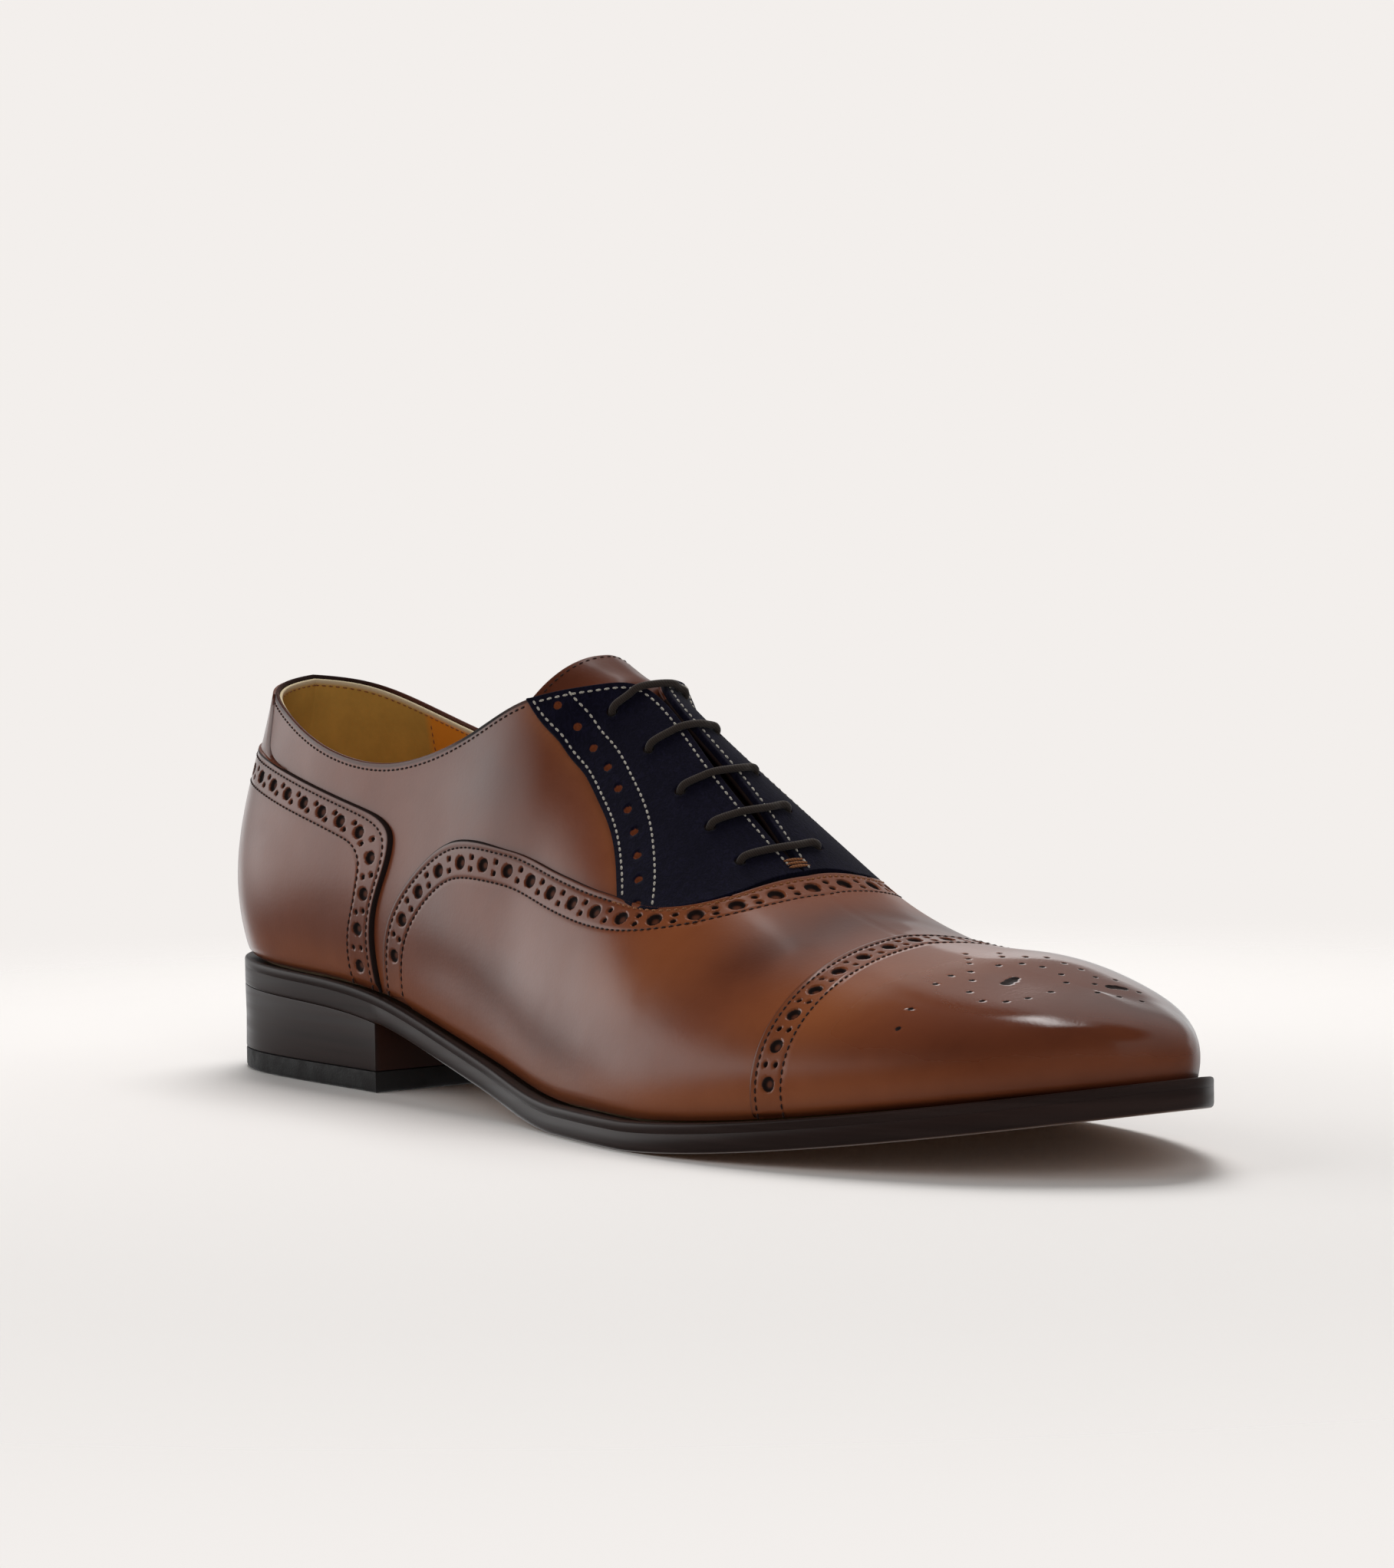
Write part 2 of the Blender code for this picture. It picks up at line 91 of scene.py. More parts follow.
# One row for each rib: where the sole's edge runs, the ledge, the rib's upper end, and its handles
RIB_COLUMNS = ("edge_x", "lateral", "medial", "ledge", "top_x", "half", "top_z",
               "low_out", "low_up", "high_out", "high_up", "fall", "tilt")
RIBS = np.array([
    (2.7, 0.0, 0.0, 2.6, 10.8, 0.0, 86.4, 7.0, 22.0, 4.0, -20.0, 0.0, 0.0),
    (9.0, -17.0, 17.0, 2.6, 14.8, 11.0, 84.8, 7.0, 22.0, 4.0, -20.0, 0.0, 0.0),
    (26.0, -26.4, 26.4, 2.6, 29.0, 19.0, 79.6, 7.0, 22.0, 3.5, -20.0, 0.0, 0.0),
    (50.0, -29.3, 28.4, 2.6, 51.0, 23.2, 72.6, 5.5, 22.0, 3.0, -18.0, 0.0, 0.0),
    (78.0, -30.5, 26.6, 2.8, 78.0, 23.8, 69.8, 3.5, 24.0, 3.0, -18.0, 0.0, 0.0),
    (102.0, -32.2, 24.8, 3.0, 104.0, 22.5, 76.0, 3.5, 26.0, 4.0, -18.0, 0.0, 0.0),
    (118.0, -34.2, 25.6, 3.3, 122.0, 20.0, 84.0, 3.5, 28.0, 6.0, -17.0, 0.0, 0.0),
    (130.0, -36.2, 27.2, 3.6, 134.0, 11.0, 87.4, 3.5, 29.5, 12.0, -10.0, 0.0, 0.05),
    (142.0, -39.0, 30.0, 3.9, 143.0, 1.4, 85.8, 3.5, 29.5, 20.0, -5.0, 0.0, 0.12),
    (160.0, -43.6, 35.4, 4.1, 162.0, 1.3, 72.3, 3.5, 27.5, 22.0, -3.0, -0.3, 0.16),
    (180.0, -47.8, 41.6, 4.3, 179.0, 1.2, 59.4, 3.5, 24.5, 24.0, -1.5, -0.5, 0.12),
    (200.0, -50.2, 45.4, 4.4, 196.0, 0.0, 47.6, 4.0, 20.5, 26.5, 0.0, -0.4, 0.04),
    (222.0, -49.0, 46.4, 4.5, 216.0, 0.0, 40.6, 4.0, 17.5, 27.5, 0.0, -0.25, 0.0),
    (243.0, -44.2, 43.4, 4.6, 235.0, 0.0, 37.0, 4.0, 15.5, 26.5, 0.0, -0.17, 0.04),
    (262.0, -37.2, 37.2, 4.7, 252.0, 0.0, 35.0, 4.0, 14.5, 24.5, 0.0, -0.12, 0.13),
    (279.5, -27.2, 28.6, 4.7, 265.5, 0.0, 34.2, 3.5, 13.5, 20.5, 0.0, -0.08, 0.14),
    (292.0, -15.0, 18.8, 4.7, 272.5, 0.0, 33.6, 3.0, 12.5, 16.5, 0.0, -0.10, 0.08),
    (299.0, -5.5, 11.2, 4.7, 275.0, 0.0, 33.4, 3.0, 11.5, 16.0, 0.0, -0.12, 0.03),
    (TIP_X, 3.3, 3.3, 4.7, 275.6, 0.0, 33.4, 3.0, 11.5, 16.0, 0.0, -0.12, 0.0),
])
TOE = len(RIBS) - 1
RING = 2 * TOE
WAIST = np.array([(-15.0, 19.9), (0.0, 19.4), (40.0, 17.9), (83.0, 14.6), (105.0, 9.8),
                  (130.0, 4.6), (150.0, 1.2), (FLAT_BACK, 0.0), (182.0, 0.0)])

# Seams on the outer side as rib and rise; the inner side mirrors them
VAMP_SEAM = ((4.17, 0.0), (4.18, 0.15), (4.30, 0.30), (4.55, 0.45), (4.85, 0.55), (5.17, 0.588),
             (5.55, 0.573), (5.96, 0.542), (6.38, 0.508), (6.79, 0.482), (7.46, 0.459), (8.04, 0.461),
             (8.42, 0.474), (8.75, 0.492), (9.21, 0.519), (9.62, 0.544), (10.17, 0.583), (10.55, 0.67),
             (10.74, 0.78), (10.78, 0.88), (10.78, 1.0))
COUNTER_SEAM = ((4.06, 0.0), (4.02, 0.15), (4.06, 0.30), (4.16, 0.45), (4.22, 0.58), (4.20, 0.67),
                (4.08, 0.74), (3.83, 0.795), (3.5, 0.823), (2.96, 0.832), (2.4, 0.818), (1.8, 0.797),
                (1.2, 0.782), (0.6, 0.775), (0.0, 0.772))
COUNTER_INNER = ((3.70, 0.0), (3.67, 0.05), (3.67, 0.12), (3.71, 0.213), (3.78, 0.32), (3.82, 0.43),
                 (3.82, 0.52), (3.74, 0.588), (3.52, 0.637), (3.17, 0.663), (2.6, 0.673), (1.92, 0.667),
                 (1.2, 0.655), (0.6, 0.648), (0.0, 0.645))
CAP_SEAM = ((12.46, 0.0), (12.42, 0.2), (12.38, 0.4), (12.33, 0.6), (12.29, 0.8), (12.29, 1.0))
TAIL_SEAM = ((2.35, 0.815), (2.0, 0.818), (1.76, 0.845), (1.62, 0.92), (1.42, 1.0))
FACING_REAR = ((6.12, 0.996), (6.80, 0.815), (7.52, 0.718), (8.08, 0.690), (8.47, 0.672), (8.88, 0.645),
               (9.27, 0.590), (9.56, 0.530))
FACING_FOOT = ((9.56, 0.530), (10.0, 0.55), (10.46, 0.64), (10.70, 0.76), (10.74, 0.88), (10.74, 1.0))

# How far along a panel's seam each column starts, and the rib where that column meets the welt
VAMP_FOOT = ((0.0, 4.55), (0.10, 4.80), (0.24, 5.3), (0.32, 5.7), (0.44, 6.7), (0.56, 8.0), (0.66, 9.0),
             (0.75, 9.9), (0.82, 10.6), (0.88, 11.1), (0.94, 11.5), (1.0, 11.75))
COUNTER_FOOT = ((0.0, 3.62), (0.2, 3.45), (0.34, 3.2), (0.45, 2.85), (0.7, 1.6), (1.0, 0.0))
FACING_TOP = ((0.0, 6.18), (0.2, 7.1), (0.38, 7.9), (0.52, 8.55), (0.62, 9.05), (0.72, 9.5), (0.8, 9.85),
              (0.88, 10.2), (0.95, 10.5), (1.0, 10.68))

# Tongue: ribs it lies under, how far down it reaches, and its free end as rows of how far back, how far up,
# reach to the outer and the inner side, and fall to the outer and the inner side per square millimetre
TONGUE_RIBS = (10.55, 10.1, 9.6, 9.1, 8.6, 8.1)
TONGUE_REACH = 0.79
TONGUE_END = ((5.0, 4.3, 12.3, 12.0, 0.046, 0.050), (10.0, 6.6, 14.0, 12.4, 0.040, 0.060),
              (15.0, 8.8, 16.3, 12.8, 0.033, 0.072), (19.0, 10.4, 18.0, 13.0, 0.0265, 0.080))
TONGUE_DEPTH = 2.3
TONGUE_WALL = 1.6

# Lace bars from the top down, and how far down each facing the eyelets are
LACE_RIBS = (7.9, 8.6, 9.2, 9.8, 10.38)
EYELET_RISE = 0.865
INNER_EYELET = 0.02
STRIP_PITCH = 6.85

# Medallion on the toe cap: its holes as x, y and radius; each of the two large ones is three that overlap
MEDALLION = (
    (260.3, -5.1, 1.3), (259.9, -3.7, 1.35), (259.5, -2.3, 1.1),
    (274.2, 9.2, 1.25), (274.7, 10.2, 1.3), (275.2, 11.2, 1.1),
    (258.0, -29.6, 0.65), (255.2, -24.6, 0.65), (250.7, -14.8, 0.65), (249.6, -9.7, 0.65),
    (240.5, 1.4, 0.55), (243.5, -0.4, 0.55), (246.1, -2.3, 0.55),
    (254.0, -8.7, 0.65), (258.8, -13.0, 0.65), (264.4, -14.7, 0.65), (268.6, -12.5, 0.65),
    (270.6, -8.8, 0.65), (270.9, -3.3, 0.65), (268.3, 3.0, 0.65), (263.7, 5.5, 0.65),
    (258.0, 5.8, 0.65), (253.8, 4.3, 0.65), (250.9, 0.5, 0.65), (250.2, -5.3, 0.65),
    (244.9, 6.2, 0.6), (247.8, 4.7, 0.6), (250.9, 7.8, 0.6), (253.7, 10.7, 0.6),
    (258.3, 10.9, 0.6), (263.1, 11.2, 0.6), (268.3, 10.3, 0.6), (271.6, 7.2, 0.6),
    (276.2, 3.9, 0.65), (279.6, 6.4, 0.65), (282.5, 9.4, 0.6), (277.3, 13.3, 0.6), (270.3, 13.6, 0.6),
)
MEDALLION_FLOOR = 22.0
MEDALLION_DEPTH = 0.3
MEDALLION_RIM = 0.2
MEDALLION_DEEPEST = -0.5

# Dark strokes on the calf, burnish and painted shade: amount, x and its width, height above the welt and its
# width
DARK_STROKES = (
    (0.26, 294.0, 22.0, 16.0, 30.0), (0.30, 274.0, 22.0, 12.0, 7.0), (0.30, 4.0, 18.0, 30.0, 60.0),
    # Painted shade: the strokes at 104, 128 and 158 mm run down along the vamp's side crease, and the one at
    # 212 mm is a dark streak across the vamp near the cap; the others are burnish
    (0.45, 117.0, 13.0, 56.0, 13.0), (0.30, 104.0, 12.0, 25.0, 9.0), (0.38, 128.0, 16.0, 18.0, 7.0),
    (0.32, 158.0, 20.0, 12.0, 6.0), (0.55, 212.0, 10.0, 35.0, 12.0), (0.22, 60.0, 40.0, 12.0, 10.0),
)
TAN_STROKES = (
    (0.75, 236.0, 15.0, 21.0, 10.0), (0.55, 210.0, 80.0, 4.0, 4.5), (0.40, 60.0, 60.0, 4.0, 4.5),
    (0.40, 190.0, 14.0, 38.0, 12.0), (0.30, 185.0, 25.0, 26.0, 8.0),
)


def length_property(name, description, value, low):
    """A length in metres that a user may change."""
    return bpy.props.FloatProperty(name=name, description=description, default=value, min=low,
                                   subtype="DISTANCE", unit="LENGTH", precision=5)


class OxfordSizes(bpy.types.PropertyGroup):
    """Sizes of the trim."""

    panel: length_property("Panel height", "Height of a leather panel above the quarter", 0.0011, 0.0002)
    cloth: length_property("Cloth height", "Height of a facing's cloth above the quarter", 0.0011, 0.0002)
    hole: length_property("Brogue hole", "Radius of a large brogue hole", 0.0015, 0.0002)
    pinhole: length_property("Brogue pinhole", "Radius of the small holes that sit in pairs", 0.0006, 0.0001)
    hole_pitch: length_property("Brogue pitch", "Distance from one large hole to the next", 0.0077, 0.003)
    stitch_pitch: length_property("Stitch pitch", "Distance from one stitch to the next", 0.00165, 0.0005)
    lace: length_property("Lace radius", "Radius of the round lace", 0.00078, 0.0004)


def colour_property(name, description, value):
    """A colour that a user may change, in linear light."""
    return bpy.props.FloatVectorProperty(
        name=name, description=description, default=(*value, 1.0), size=4, min=0.0, max=1.0,
        subtype="COLOR")


class OxfordColours(bpy.types.PropertyGroup):
    """Colours of the finishes."""

    calf: colour_property("Calf", "Middle brown of the upper", (0.205, 0.054, 0.021))
    # Also the colour of the painted shade beside the welt, along the side crease and across the vamp
    calf_dark: colour_property("Calf, burnished", "Dark brown rubbed into toe, heel and seams",
                               (0.042, 0.0095, 0.0055))
    calf_warm: colour_property("Calf, tan", "Lighter tan left near edges and sole", (0.320, 0.096, 0.028))
    # Near black painted shade inside holes and eyelets, in the slit and on the tongue under the laces; also
    # where the calf is darkest
    punch: colour_property("Hole", "Inside of a punched hole", (0.012, 0.005, 0.004))
    cloth: colour_property("Cloth", "Dark blue cloth of the facings", (0.0042, 0.0036, 0.0095))
    lining: colour_property("Lining", "Lining leather at the heel", (0.640, 0.365, 0.078))
    lining_front: colour_property("Lining, front", "Lining leather ahead of its seam", (0.760, 0.270, 0.026))
    cream: colour_property("Lining edge", "Cut edge of the lining", (0.700, 0.580, 0.380))
    sock: colour_property("Sock", "Leather sock over the insole", (0.300, 0.185, 0.060))
    edge_ink: colour_property("Edge ink", "Dark finish of sole edge and heel", (0.020, 0.0115, 0.010))
    breast: colour_property("Heel breast", "Reddish leather of the heel's front", (0.030, 0.010, 0.006))
    underside: colour_property("Underside", "Bare leather of the outsole", (0.270, 0.130, 0.060))
    rubber: colour_property("Top lift", "Rubber of the heel's top lift", (0.011, 0.010, 0.010))
    lace: colour_property("Lace", "Waxed lace", (0.040, 0.028, 0.022))
    thread_brown: colour_property("Brown thread", "Thread on the leather", (0.030, 0.010, 0.007))
    thread_tan: colour_property("Tan thread", "Thread along the throat and tongue", (0.330, 0.125, 0.045))
    thread_white: colour_property("White thread", "Thread on the cloth", (0.560, 0.520, 0.450))
    floor: colour_property("Floor", "Pale floor", (0.930, 0.898, 0.872))


def column(name):
    """One column of the rib table."""
    return RIBS[:, RIB_COLUMNS.index(name)]


def around(lateral, medial):
    """Table values once round the shoe: heel back, outer side, toe tip, inner side."""
    return np.concatenate([lateral, medial[TOE - 1:0:-1]])


def ring_slopes(rows):
    """Slopes that make a closed cubic through the rows smooth: the tridiagonal system of a spline."""
    count = len(rows)
    links = np.roll(np.eye(count), 1, axis=0) + np.roll(np.eye(count), -1, axis=0)
    pull = 3.0 * (np.roll(rows, -1, axis=0) - np.roll(rows, 1, axis=0))
    return np.linalg.solve(4.0 * np.eye(count) + links, pull)


def ring_spline(rows, rates, u):
    """Point and slope at u of the closed cubic with these rows and slopes (Hermite form)."""
    count = len(rows)
    u = np.mod(np.asarray(u, float), count)
    k = np.floor(u).astype(int) % count
    f = (u - np.floor(u))[..., None]
    g = 1 - f
    a, b = rows[k], rows[(k + 1) % count]
    da, db = rates[k], rates[(k + 1) % count]
    point = a * (1 + 2 * f) * g ** 2 + da * f * g ** 2 + b * f * f * (3 - 2 * f) - db * f * f * g
    slope = (b - a) * 6 * f * g + da * (1 - 4 * f + 3 * f * f) + db * (3 * f * f - 2 * f)
    return point, slope


def open_spline(knots, rows, x):
    """Natural cubic spline through rows at the given knots: zero bend at both ends."""
    knots = np.asarray(knots, float)
    rows = np.asarray(rows, float)
    step = np.diff(knots)
    count = len(knots)
    spread = (-1,) + (1,) * (rows.ndim - 1)
    rate = np.diff(rows, axis=0) / step.reshape(spread)
    inner = np.arange(1, count - 1)
    system = np.eye(count)
    system[inner, inner - 1] = step[:-1]
    system[inner, inner] = 2 * (step[:-1] + step[1:])
    system[inner, inner + 1] = step[1:]
    pull = np.zeros(rows.shape)
    pull[1:-1] = 6 * np.diff(rate, axis=0)
    bend = np.linalg.solve(system, pull.reshape(count, -1)).reshape(rows.shape)
    i = np.clip(np.searchsorted(knots, x) - 1, 0, count - 2)
    shape = np.shape(x) + (1,) * (rows.ndim - 1)
    h = step[i].reshape(shape)
    a = (knots[i + 1] - x).reshape(shape)
    b = (x - knots[i]).reshape(shape)
    curve = (bend[i] * a ** 3 + bend[i + 1] * b ** 3) / (6 * h)
    return curve + (rows[i] / h - bend[i] * h / 6) * a + (rows[i + 1] / h - bend[i + 1] * h / 6) * b


EDGE = np.stack([around(column("edge_x"), column("edge_x")),
                 around(column("lateral"), column("medial"))], axis=-1)
EDGE_SLOPES = ring_slopes(EDGE)
RIB_TABLE = np.stack([around(column(name), column(name)) for name in RIB_COLUMNS[3:12]]
                     + [around(-column("tilt"), column("tilt"))], axis=-1)
RIB_SLOPES = ring_slopes(RIB_TABLE)


def unit(vectors):
    """Vectors cut to length one."""
    return vectors / np.maximum(np.linalg.norm(vectors, axis=-1, keepdims=True), 1e-12)


def smooth(x, low, high):
    """Smooth step: 0 below low, 1 above high, and 3t^2 - 2t^3 between."""
    t = np.clip((np.asarray(x, float) - low) / (high - low), 0.0, 1.0)
    return t * t * (3 - 2 * t)


def bump_at(x, centre, width):
    """Bell curve exp(-((x - centre) / width)^2)."""
    return np.exp(-((x - centre) / width) ** 2)


def sole_bottom(x):
    """Height of the sole's underside: a spline over the arch, flat at the ball, a power curve at the toe."""
    x = np.asarray(x, float)
    arch = open_spline(WAIST[:, 0], WAIST[:, 1], np.minimum(x, FLAT_BACK))
    run = np.maximum(x - FLAT_FRONT, 0.0) / (TIP_X - FLAT_FRONT)
    return np.where(x < FLAT_BACK, arch, TOE_SPRING * run ** SPRING_POWER)


def sole_top(x):
    """Height of the welt's upper face."""
    return sole_bottom(x) + SOLE


def sole_edge(u, inset):
    """Sole edge in plan, moved inward by inset along its normal, and that outward normal."""
    point, slope = ring_spline(EDGE, EDGE_SLOPES, u)
    normal = unit(np.stack([slope[..., 1], -slope[..., 0]], axis=-1))
    return point - np.asarray(inset)[..., None] * normal, normal


def ledge_at(u):
    """Distance from the sole's edge to the upper."""
    return ring_spline(RIB_TABLE, RIB_SLOPES, u)[0][..., 0]


def spine_y(x):
    """The middle line bends to the inner side ahead of the ball, as a power of the way there."""
    run = np.clip((x - SWING_FROM) / (SWING_TO - SWING_FROM), 0.0, 1.0)
    return TOE_SWING * run ** SWING_POWER


def toe_shape(points):
    """The toe's top made lower to the tip, more so on the inner side, and fuller behind on that side.

    A point goes down in step with its height, by a soft step along x; it goes up by a bell along x.
    """
    x, y, z = np.moveaxis(points, -1, 0)
    inward = 1.0 + FALL_INWARD * np.tanh(y / FALL_WIDTH)
    down = TOE_FALL * smooth(x, *FALL_ALONG) * (z - FALL_FROM) / FALL_SPAN * inward
    up = FAR_FULLNESS * bump_at(x, FULL_AT, FULL_WIDTH) * smooth(y, *FULL_ACROSS) * smooth(z, *FULL_ABOVE)
    return np.stack([x, y, z + up - down], axis=-1)


def last_point(u, v):
    """Point on the last: the cubic Bezier of rib u at rise v, with the toe's own shape."""
    u, v = np.broadcast_arrays(np.asarray(u, float), np.asarray(v, float))
    values = np.moveaxis(ring_spline(RIB_TABLE, RIB_SLOPES, u)[0], -1, 0)
    ledge, top_x, half, top_z, low_out, low_up, high_out, high_up, fall, tilt = values
    foot, normal = sole_edge(u, ledge)
    lap = np.mod(u, RING)
    half = np.where(np.abs(lap - TOE) <= TOE - THROAT_RIB, 0.0, np.maximum(half, 0.0))
    top_y = spine_y(top_x) + half * np.where(lap < TOE, -1.0, 1.0)
    start = np.stack([foot[..., 0], foot[..., 1], sole_top(foot[..., 0]) + GAP], axis=-1)
    end = np.stack([top_x, top_y, top_z], axis=-1)
    low = start + np.stack([low_out * normal[..., 0], low_out * normal[..., 1], low_up], axis=-1)
    lift = high_up + high_out * (fall * normal[..., 0] + tilt * np.abs(normal[..., 1]))
    high = end + np.stack([high_out * normal[..., 0], high_out * normal[..., 1], lift], axis=-1)
    v = v[..., None]
    w = 1.0 - v
    return toe_shape(start * w ** 3 + 3 * low * w * w * v + 3 * high * w * v * v + end * v ** 3)


SLOPE_STEP = 0.004
SPINE_BLEND = (0.9, 1.0)


def slopes(u, v):
    """The last's slopes along the ring and up the rib, by central differences."""
    v = np.clip(v, SLOPE_STEP, 1.0 - SLOPE_STEP)
    along = last_point(u + SLOPE_STEP, v) - last_point(u - SLOPE_STEP, v)
    up = last_point(u, v + SLOPE_STEP) - last_point(u, v - SLOPE_STEP)
    return along / (2 * SLOPE_STEP), up / (2 * SLOPE_STEP)


def outward(u, v):
    """Outward normal, the cross product of the slopes; both sides share one normal on the spine."""
    u, v = np.broadcast_arrays(np.asarray(u, float), np.asarray(v, float))
    own = unit(np.cross(*slopes(u, v)))
    other = unit(np.cross(*slopes(RING - u, v)))
    ahead = np.abs(np.mod(u, RING) - TOE) < TOE - THROAT_RIB
    share = (0.5 * smooth(v, *SPINE_BLEND) * ahead)[..., None]
    return unit(own * (1 - share) + other * share)


def skin(u, v, lift):
    """Point lifted off the last along its normal."""
    return last_point(u, v) + np.asarray(lift)[..., None] * outward(u, v)


def run_length(points, axis=0):
    """Distance along lines of points that run along an axis of the array."""
    steps = np.cumsum(np.linalg.norm(np.diff(points, axis=axis), axis=-1), axis=axis)
    return np.insert(steps, 0, 0.0, axis=axis)


def read_along(places, run, rows):
    """Rows read at places along their run, straight between one row and the next."""
    return np.stack([np.interp(places, run, values) for values in rows.T], axis=-1)


SEAM_SAMPLES = 900
WALK_STEP = 0.4
EASE_WINDOW = np.hanning(81)[1:-1] / np.hanning(81).sum()


def seam(knots, pitch):
    """Rib and rise along a spline through the knots, evenly spaced in millimetres."""
    knots = np.array(knots, float)
    run = run_length(last_point(*knots.T))
    path = open_spline(run, knots, np.linspace(0, run[-1], SEAM_SAMPLES))
    path[:, 1] = np.clip(path[:, 1], 0.0, 1.0)
    run = run_length(last_point(*path.T))
    return read_along(np.linspace(0, run[-1], int(round(run[-1] / pitch)) + 1), run, path)


def level_line(start, end, count, rise):
    """Ribs from start to end, all at one rise."""
    return np.column_stack([np.linspace(start, end, count), np.full(count, rise)])


def walk(path, distances, side):
    """Strip beside a seam, as rows of rib and rise.

    Each step goes straight over the last, square to the seam: the step in rib and rise is the one
    whose slopes add up to it, from the 2 by 2 normal equations.
    """
    u, v = path.T.copy()
    heading = side * np.cross(outward(u, v), unit(np.gradient(last_point(u, v), axis=0)))
    strip = [path]
    for gap in np.diff(distances):
        pieces = int(np.ceil(gap / WALK_STEP))
        for _ in range(pieces):
            along, up = slopes(u, v)
            normal = unit(np.cross(along, up))
            heading = unit(heading - (heading * normal).sum(-1, keepdims=True) * normal)
            aa, ab, bb = (along * along).sum(-1), (along * up).sum(-1), (up * up).sum(-1)
            ah, bh = (along * heading).sum(-1), (up * heading).sum(-1)
            size = np.maximum(aa * bb - ab * ab, 1e-6)
            u = u + (ah * bb - bh * ab) / size * gap / pieces
            v = np.clip(v + (bh * aa - ah * ab) / size * gap / pieces, 0.0, 1.0)
        strip.append(np.column_stack([u, v]))
    return np.array(strip)


def eased(strip):
    """Strip rounded off more and more away from the seam: each row is mixed with its running mean."""
    reach = len(EASE_WINDOW) // 2
    before = 2 * strip[:, :1] - strip[:, reach:0:-1]
    after = 2 * strip[:, -1:] - strip[:, -2:-reach - 2:-1]
    padded = np.concatenate([before, strip, after], axis=1)
    mean = sum(w * padded[:, k:k + strip.shape[1]] for k, w in enumerate(EASE_WINDOW))
    share = (np.linspace(0.0, 1.0, len(strip)) ** 0.5)[:, None, None]
    result = strip + share * (mean - strip)
    result[..., 1] = np.clip(result[..., 1], 0.0, 1.0)
    return result


def mirrored(strip):
    """A strip of the outer side moved to the inner side."""
    return np.stack([RING - strip[..., 0], strip[..., 1]], axis=-1)


def both_sides(strip):
    """A strip of the outer side carried on over the middle line to the inner side."""
    return np.concatenate([strip, mirrored(strip)[:, -2::-1]], axis=1)


def ruled(start, end, rows):
    """Strip of straight rungs between two lines of rib and rise."""
    share = rows[:, None, None]
    return start[None] * (1 - share) + end[None] * share


def grid_faces(rows, columns, wrap=False):
    """Quads of a grid stored row by row; wrap joins the last column to the first."""
    j = np.arange(columns if wrap else columns - 1)
    a = (np.arange(rows - 1)[:, None] * columns + j).ravel()
    b = (np.arange(rows - 1)[:, None] * columns + (j + 1) % columns).ravel()
    return np.column_stack([a, b, b + columns, a + columns])


MERGE_DISTANCE = 0.002
THIN_EDGE = 0.001
SAME_POINT = 0.004
SHARP_ANGLE = 50.0


def make_piece(name, points, faces, finish_name, slot, replaces=(), **values):
    """Object from points in table millimetres, with float values for its points.

    Doubles are merged, faces turned outward, and edges over an angle kept sharp.
    """
    points = (np.reshape(points, (-1, 3)) - ORIGIN) * MM
    mesh = bpy.data.meshes.new(name)
    mesh.from_pydata(points.tolist(), [], [list(face) for face in faces])
    for key, value in values.items():
        layer = mesh.attributes.new(key, "FLOAT", "POINT")
        layer.data.foreach_set("value", np.broadcast_to(np.ravel(value), len(points)).astype(np.float32))
    bm = bmesh.new()
    bm.from_mesh(mesh)
    bmesh.ops.remove_doubles(bm, verts=bm.verts, dist=MERGE_DISTANCE * MM)
    bmesh.ops.dissolve_degenerate(bm, edges=bm.edges, dist=THIN_EDGE * MM)
    bmesh.ops.recalc_face_normals(bm, faces=bm.faces)
    bm.to_mesh(mesh)
    bm.free()
    mesh.shade_smooth()
    mesh.set_sharp_from_angle(angle=np.radians(SHARP_ANGLE))
    mesh.materials.append(finish(finish_name))
    piece = bpy.data.objects.new(name, mesh)
    bpy.context.scene.collection.objects.link(piece)
    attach(piece, "root")
    if replaces:
        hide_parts(*replaces)


def shell(base, top, low, faces):
    """Closed sheet between two skins over one set of quads, and which points of the set it keeps.

    Points with the same base become one, a quad whose corners fall together becomes a triangle, and each
    edge with a single face gets a wall.
    """
    _, kept, at = np.unique(np.round(base / SAME_POINT), axis=0, return_index=True, return_inverse=True)
    faces = at.reshape(-1)[faces]
    same = faces == np.roll(faces, -1, axis=1)
    quads = faces[~same.any(axis=1)]
    folded = np.flatnonzero(same.sum(axis=1) == 1)
    corner = same[folded].argmax(axis=1)[:, None] + np.arange(1, 4)
    triangles = faces[folded[:, None], corner % 4]
    edges = np.concatenate([np.stack([group, np.roll(group, -1, axis=1)], axis=-1).reshape(-1, 2)
                            for group in (quads, triangles)])
    _, first, times = np.unique(np.sort(edges, axis=1), axis=0, return_index=True, return_counts=True)
    rim = edges[first[times == 1]]
    count = len(kept)
    walls = np.column_stack([rim[:, 1], rim[:, 0], rim[:, 0] + count, rim[:, 1] + count])
    closed = quads.tolist() + triangles.tolist() + (quads[:, ::-1] + count).tolist()
    closed += (triangles[:, ::-1] + count).tolist() + walls.tolist()
    return np.concatenate([top[kept], low[kept]]), closed, kept


def sheet_piece(name, base, top, low, faces, finish_name, slot, replaces, **values):
    """Piece made of a closed sheet over a grid of base points; both its skins get the same values."""
    points, closed, kept = shell(*[group.reshape(-1, 3) for group in (base, top, low)], faces)
    shared = {key: np.tile(np.ravel(value)[kept], 2) for key, value in values.items()}
    make_piece(name, points, closed, finish_name, slot, replaces, **shared)


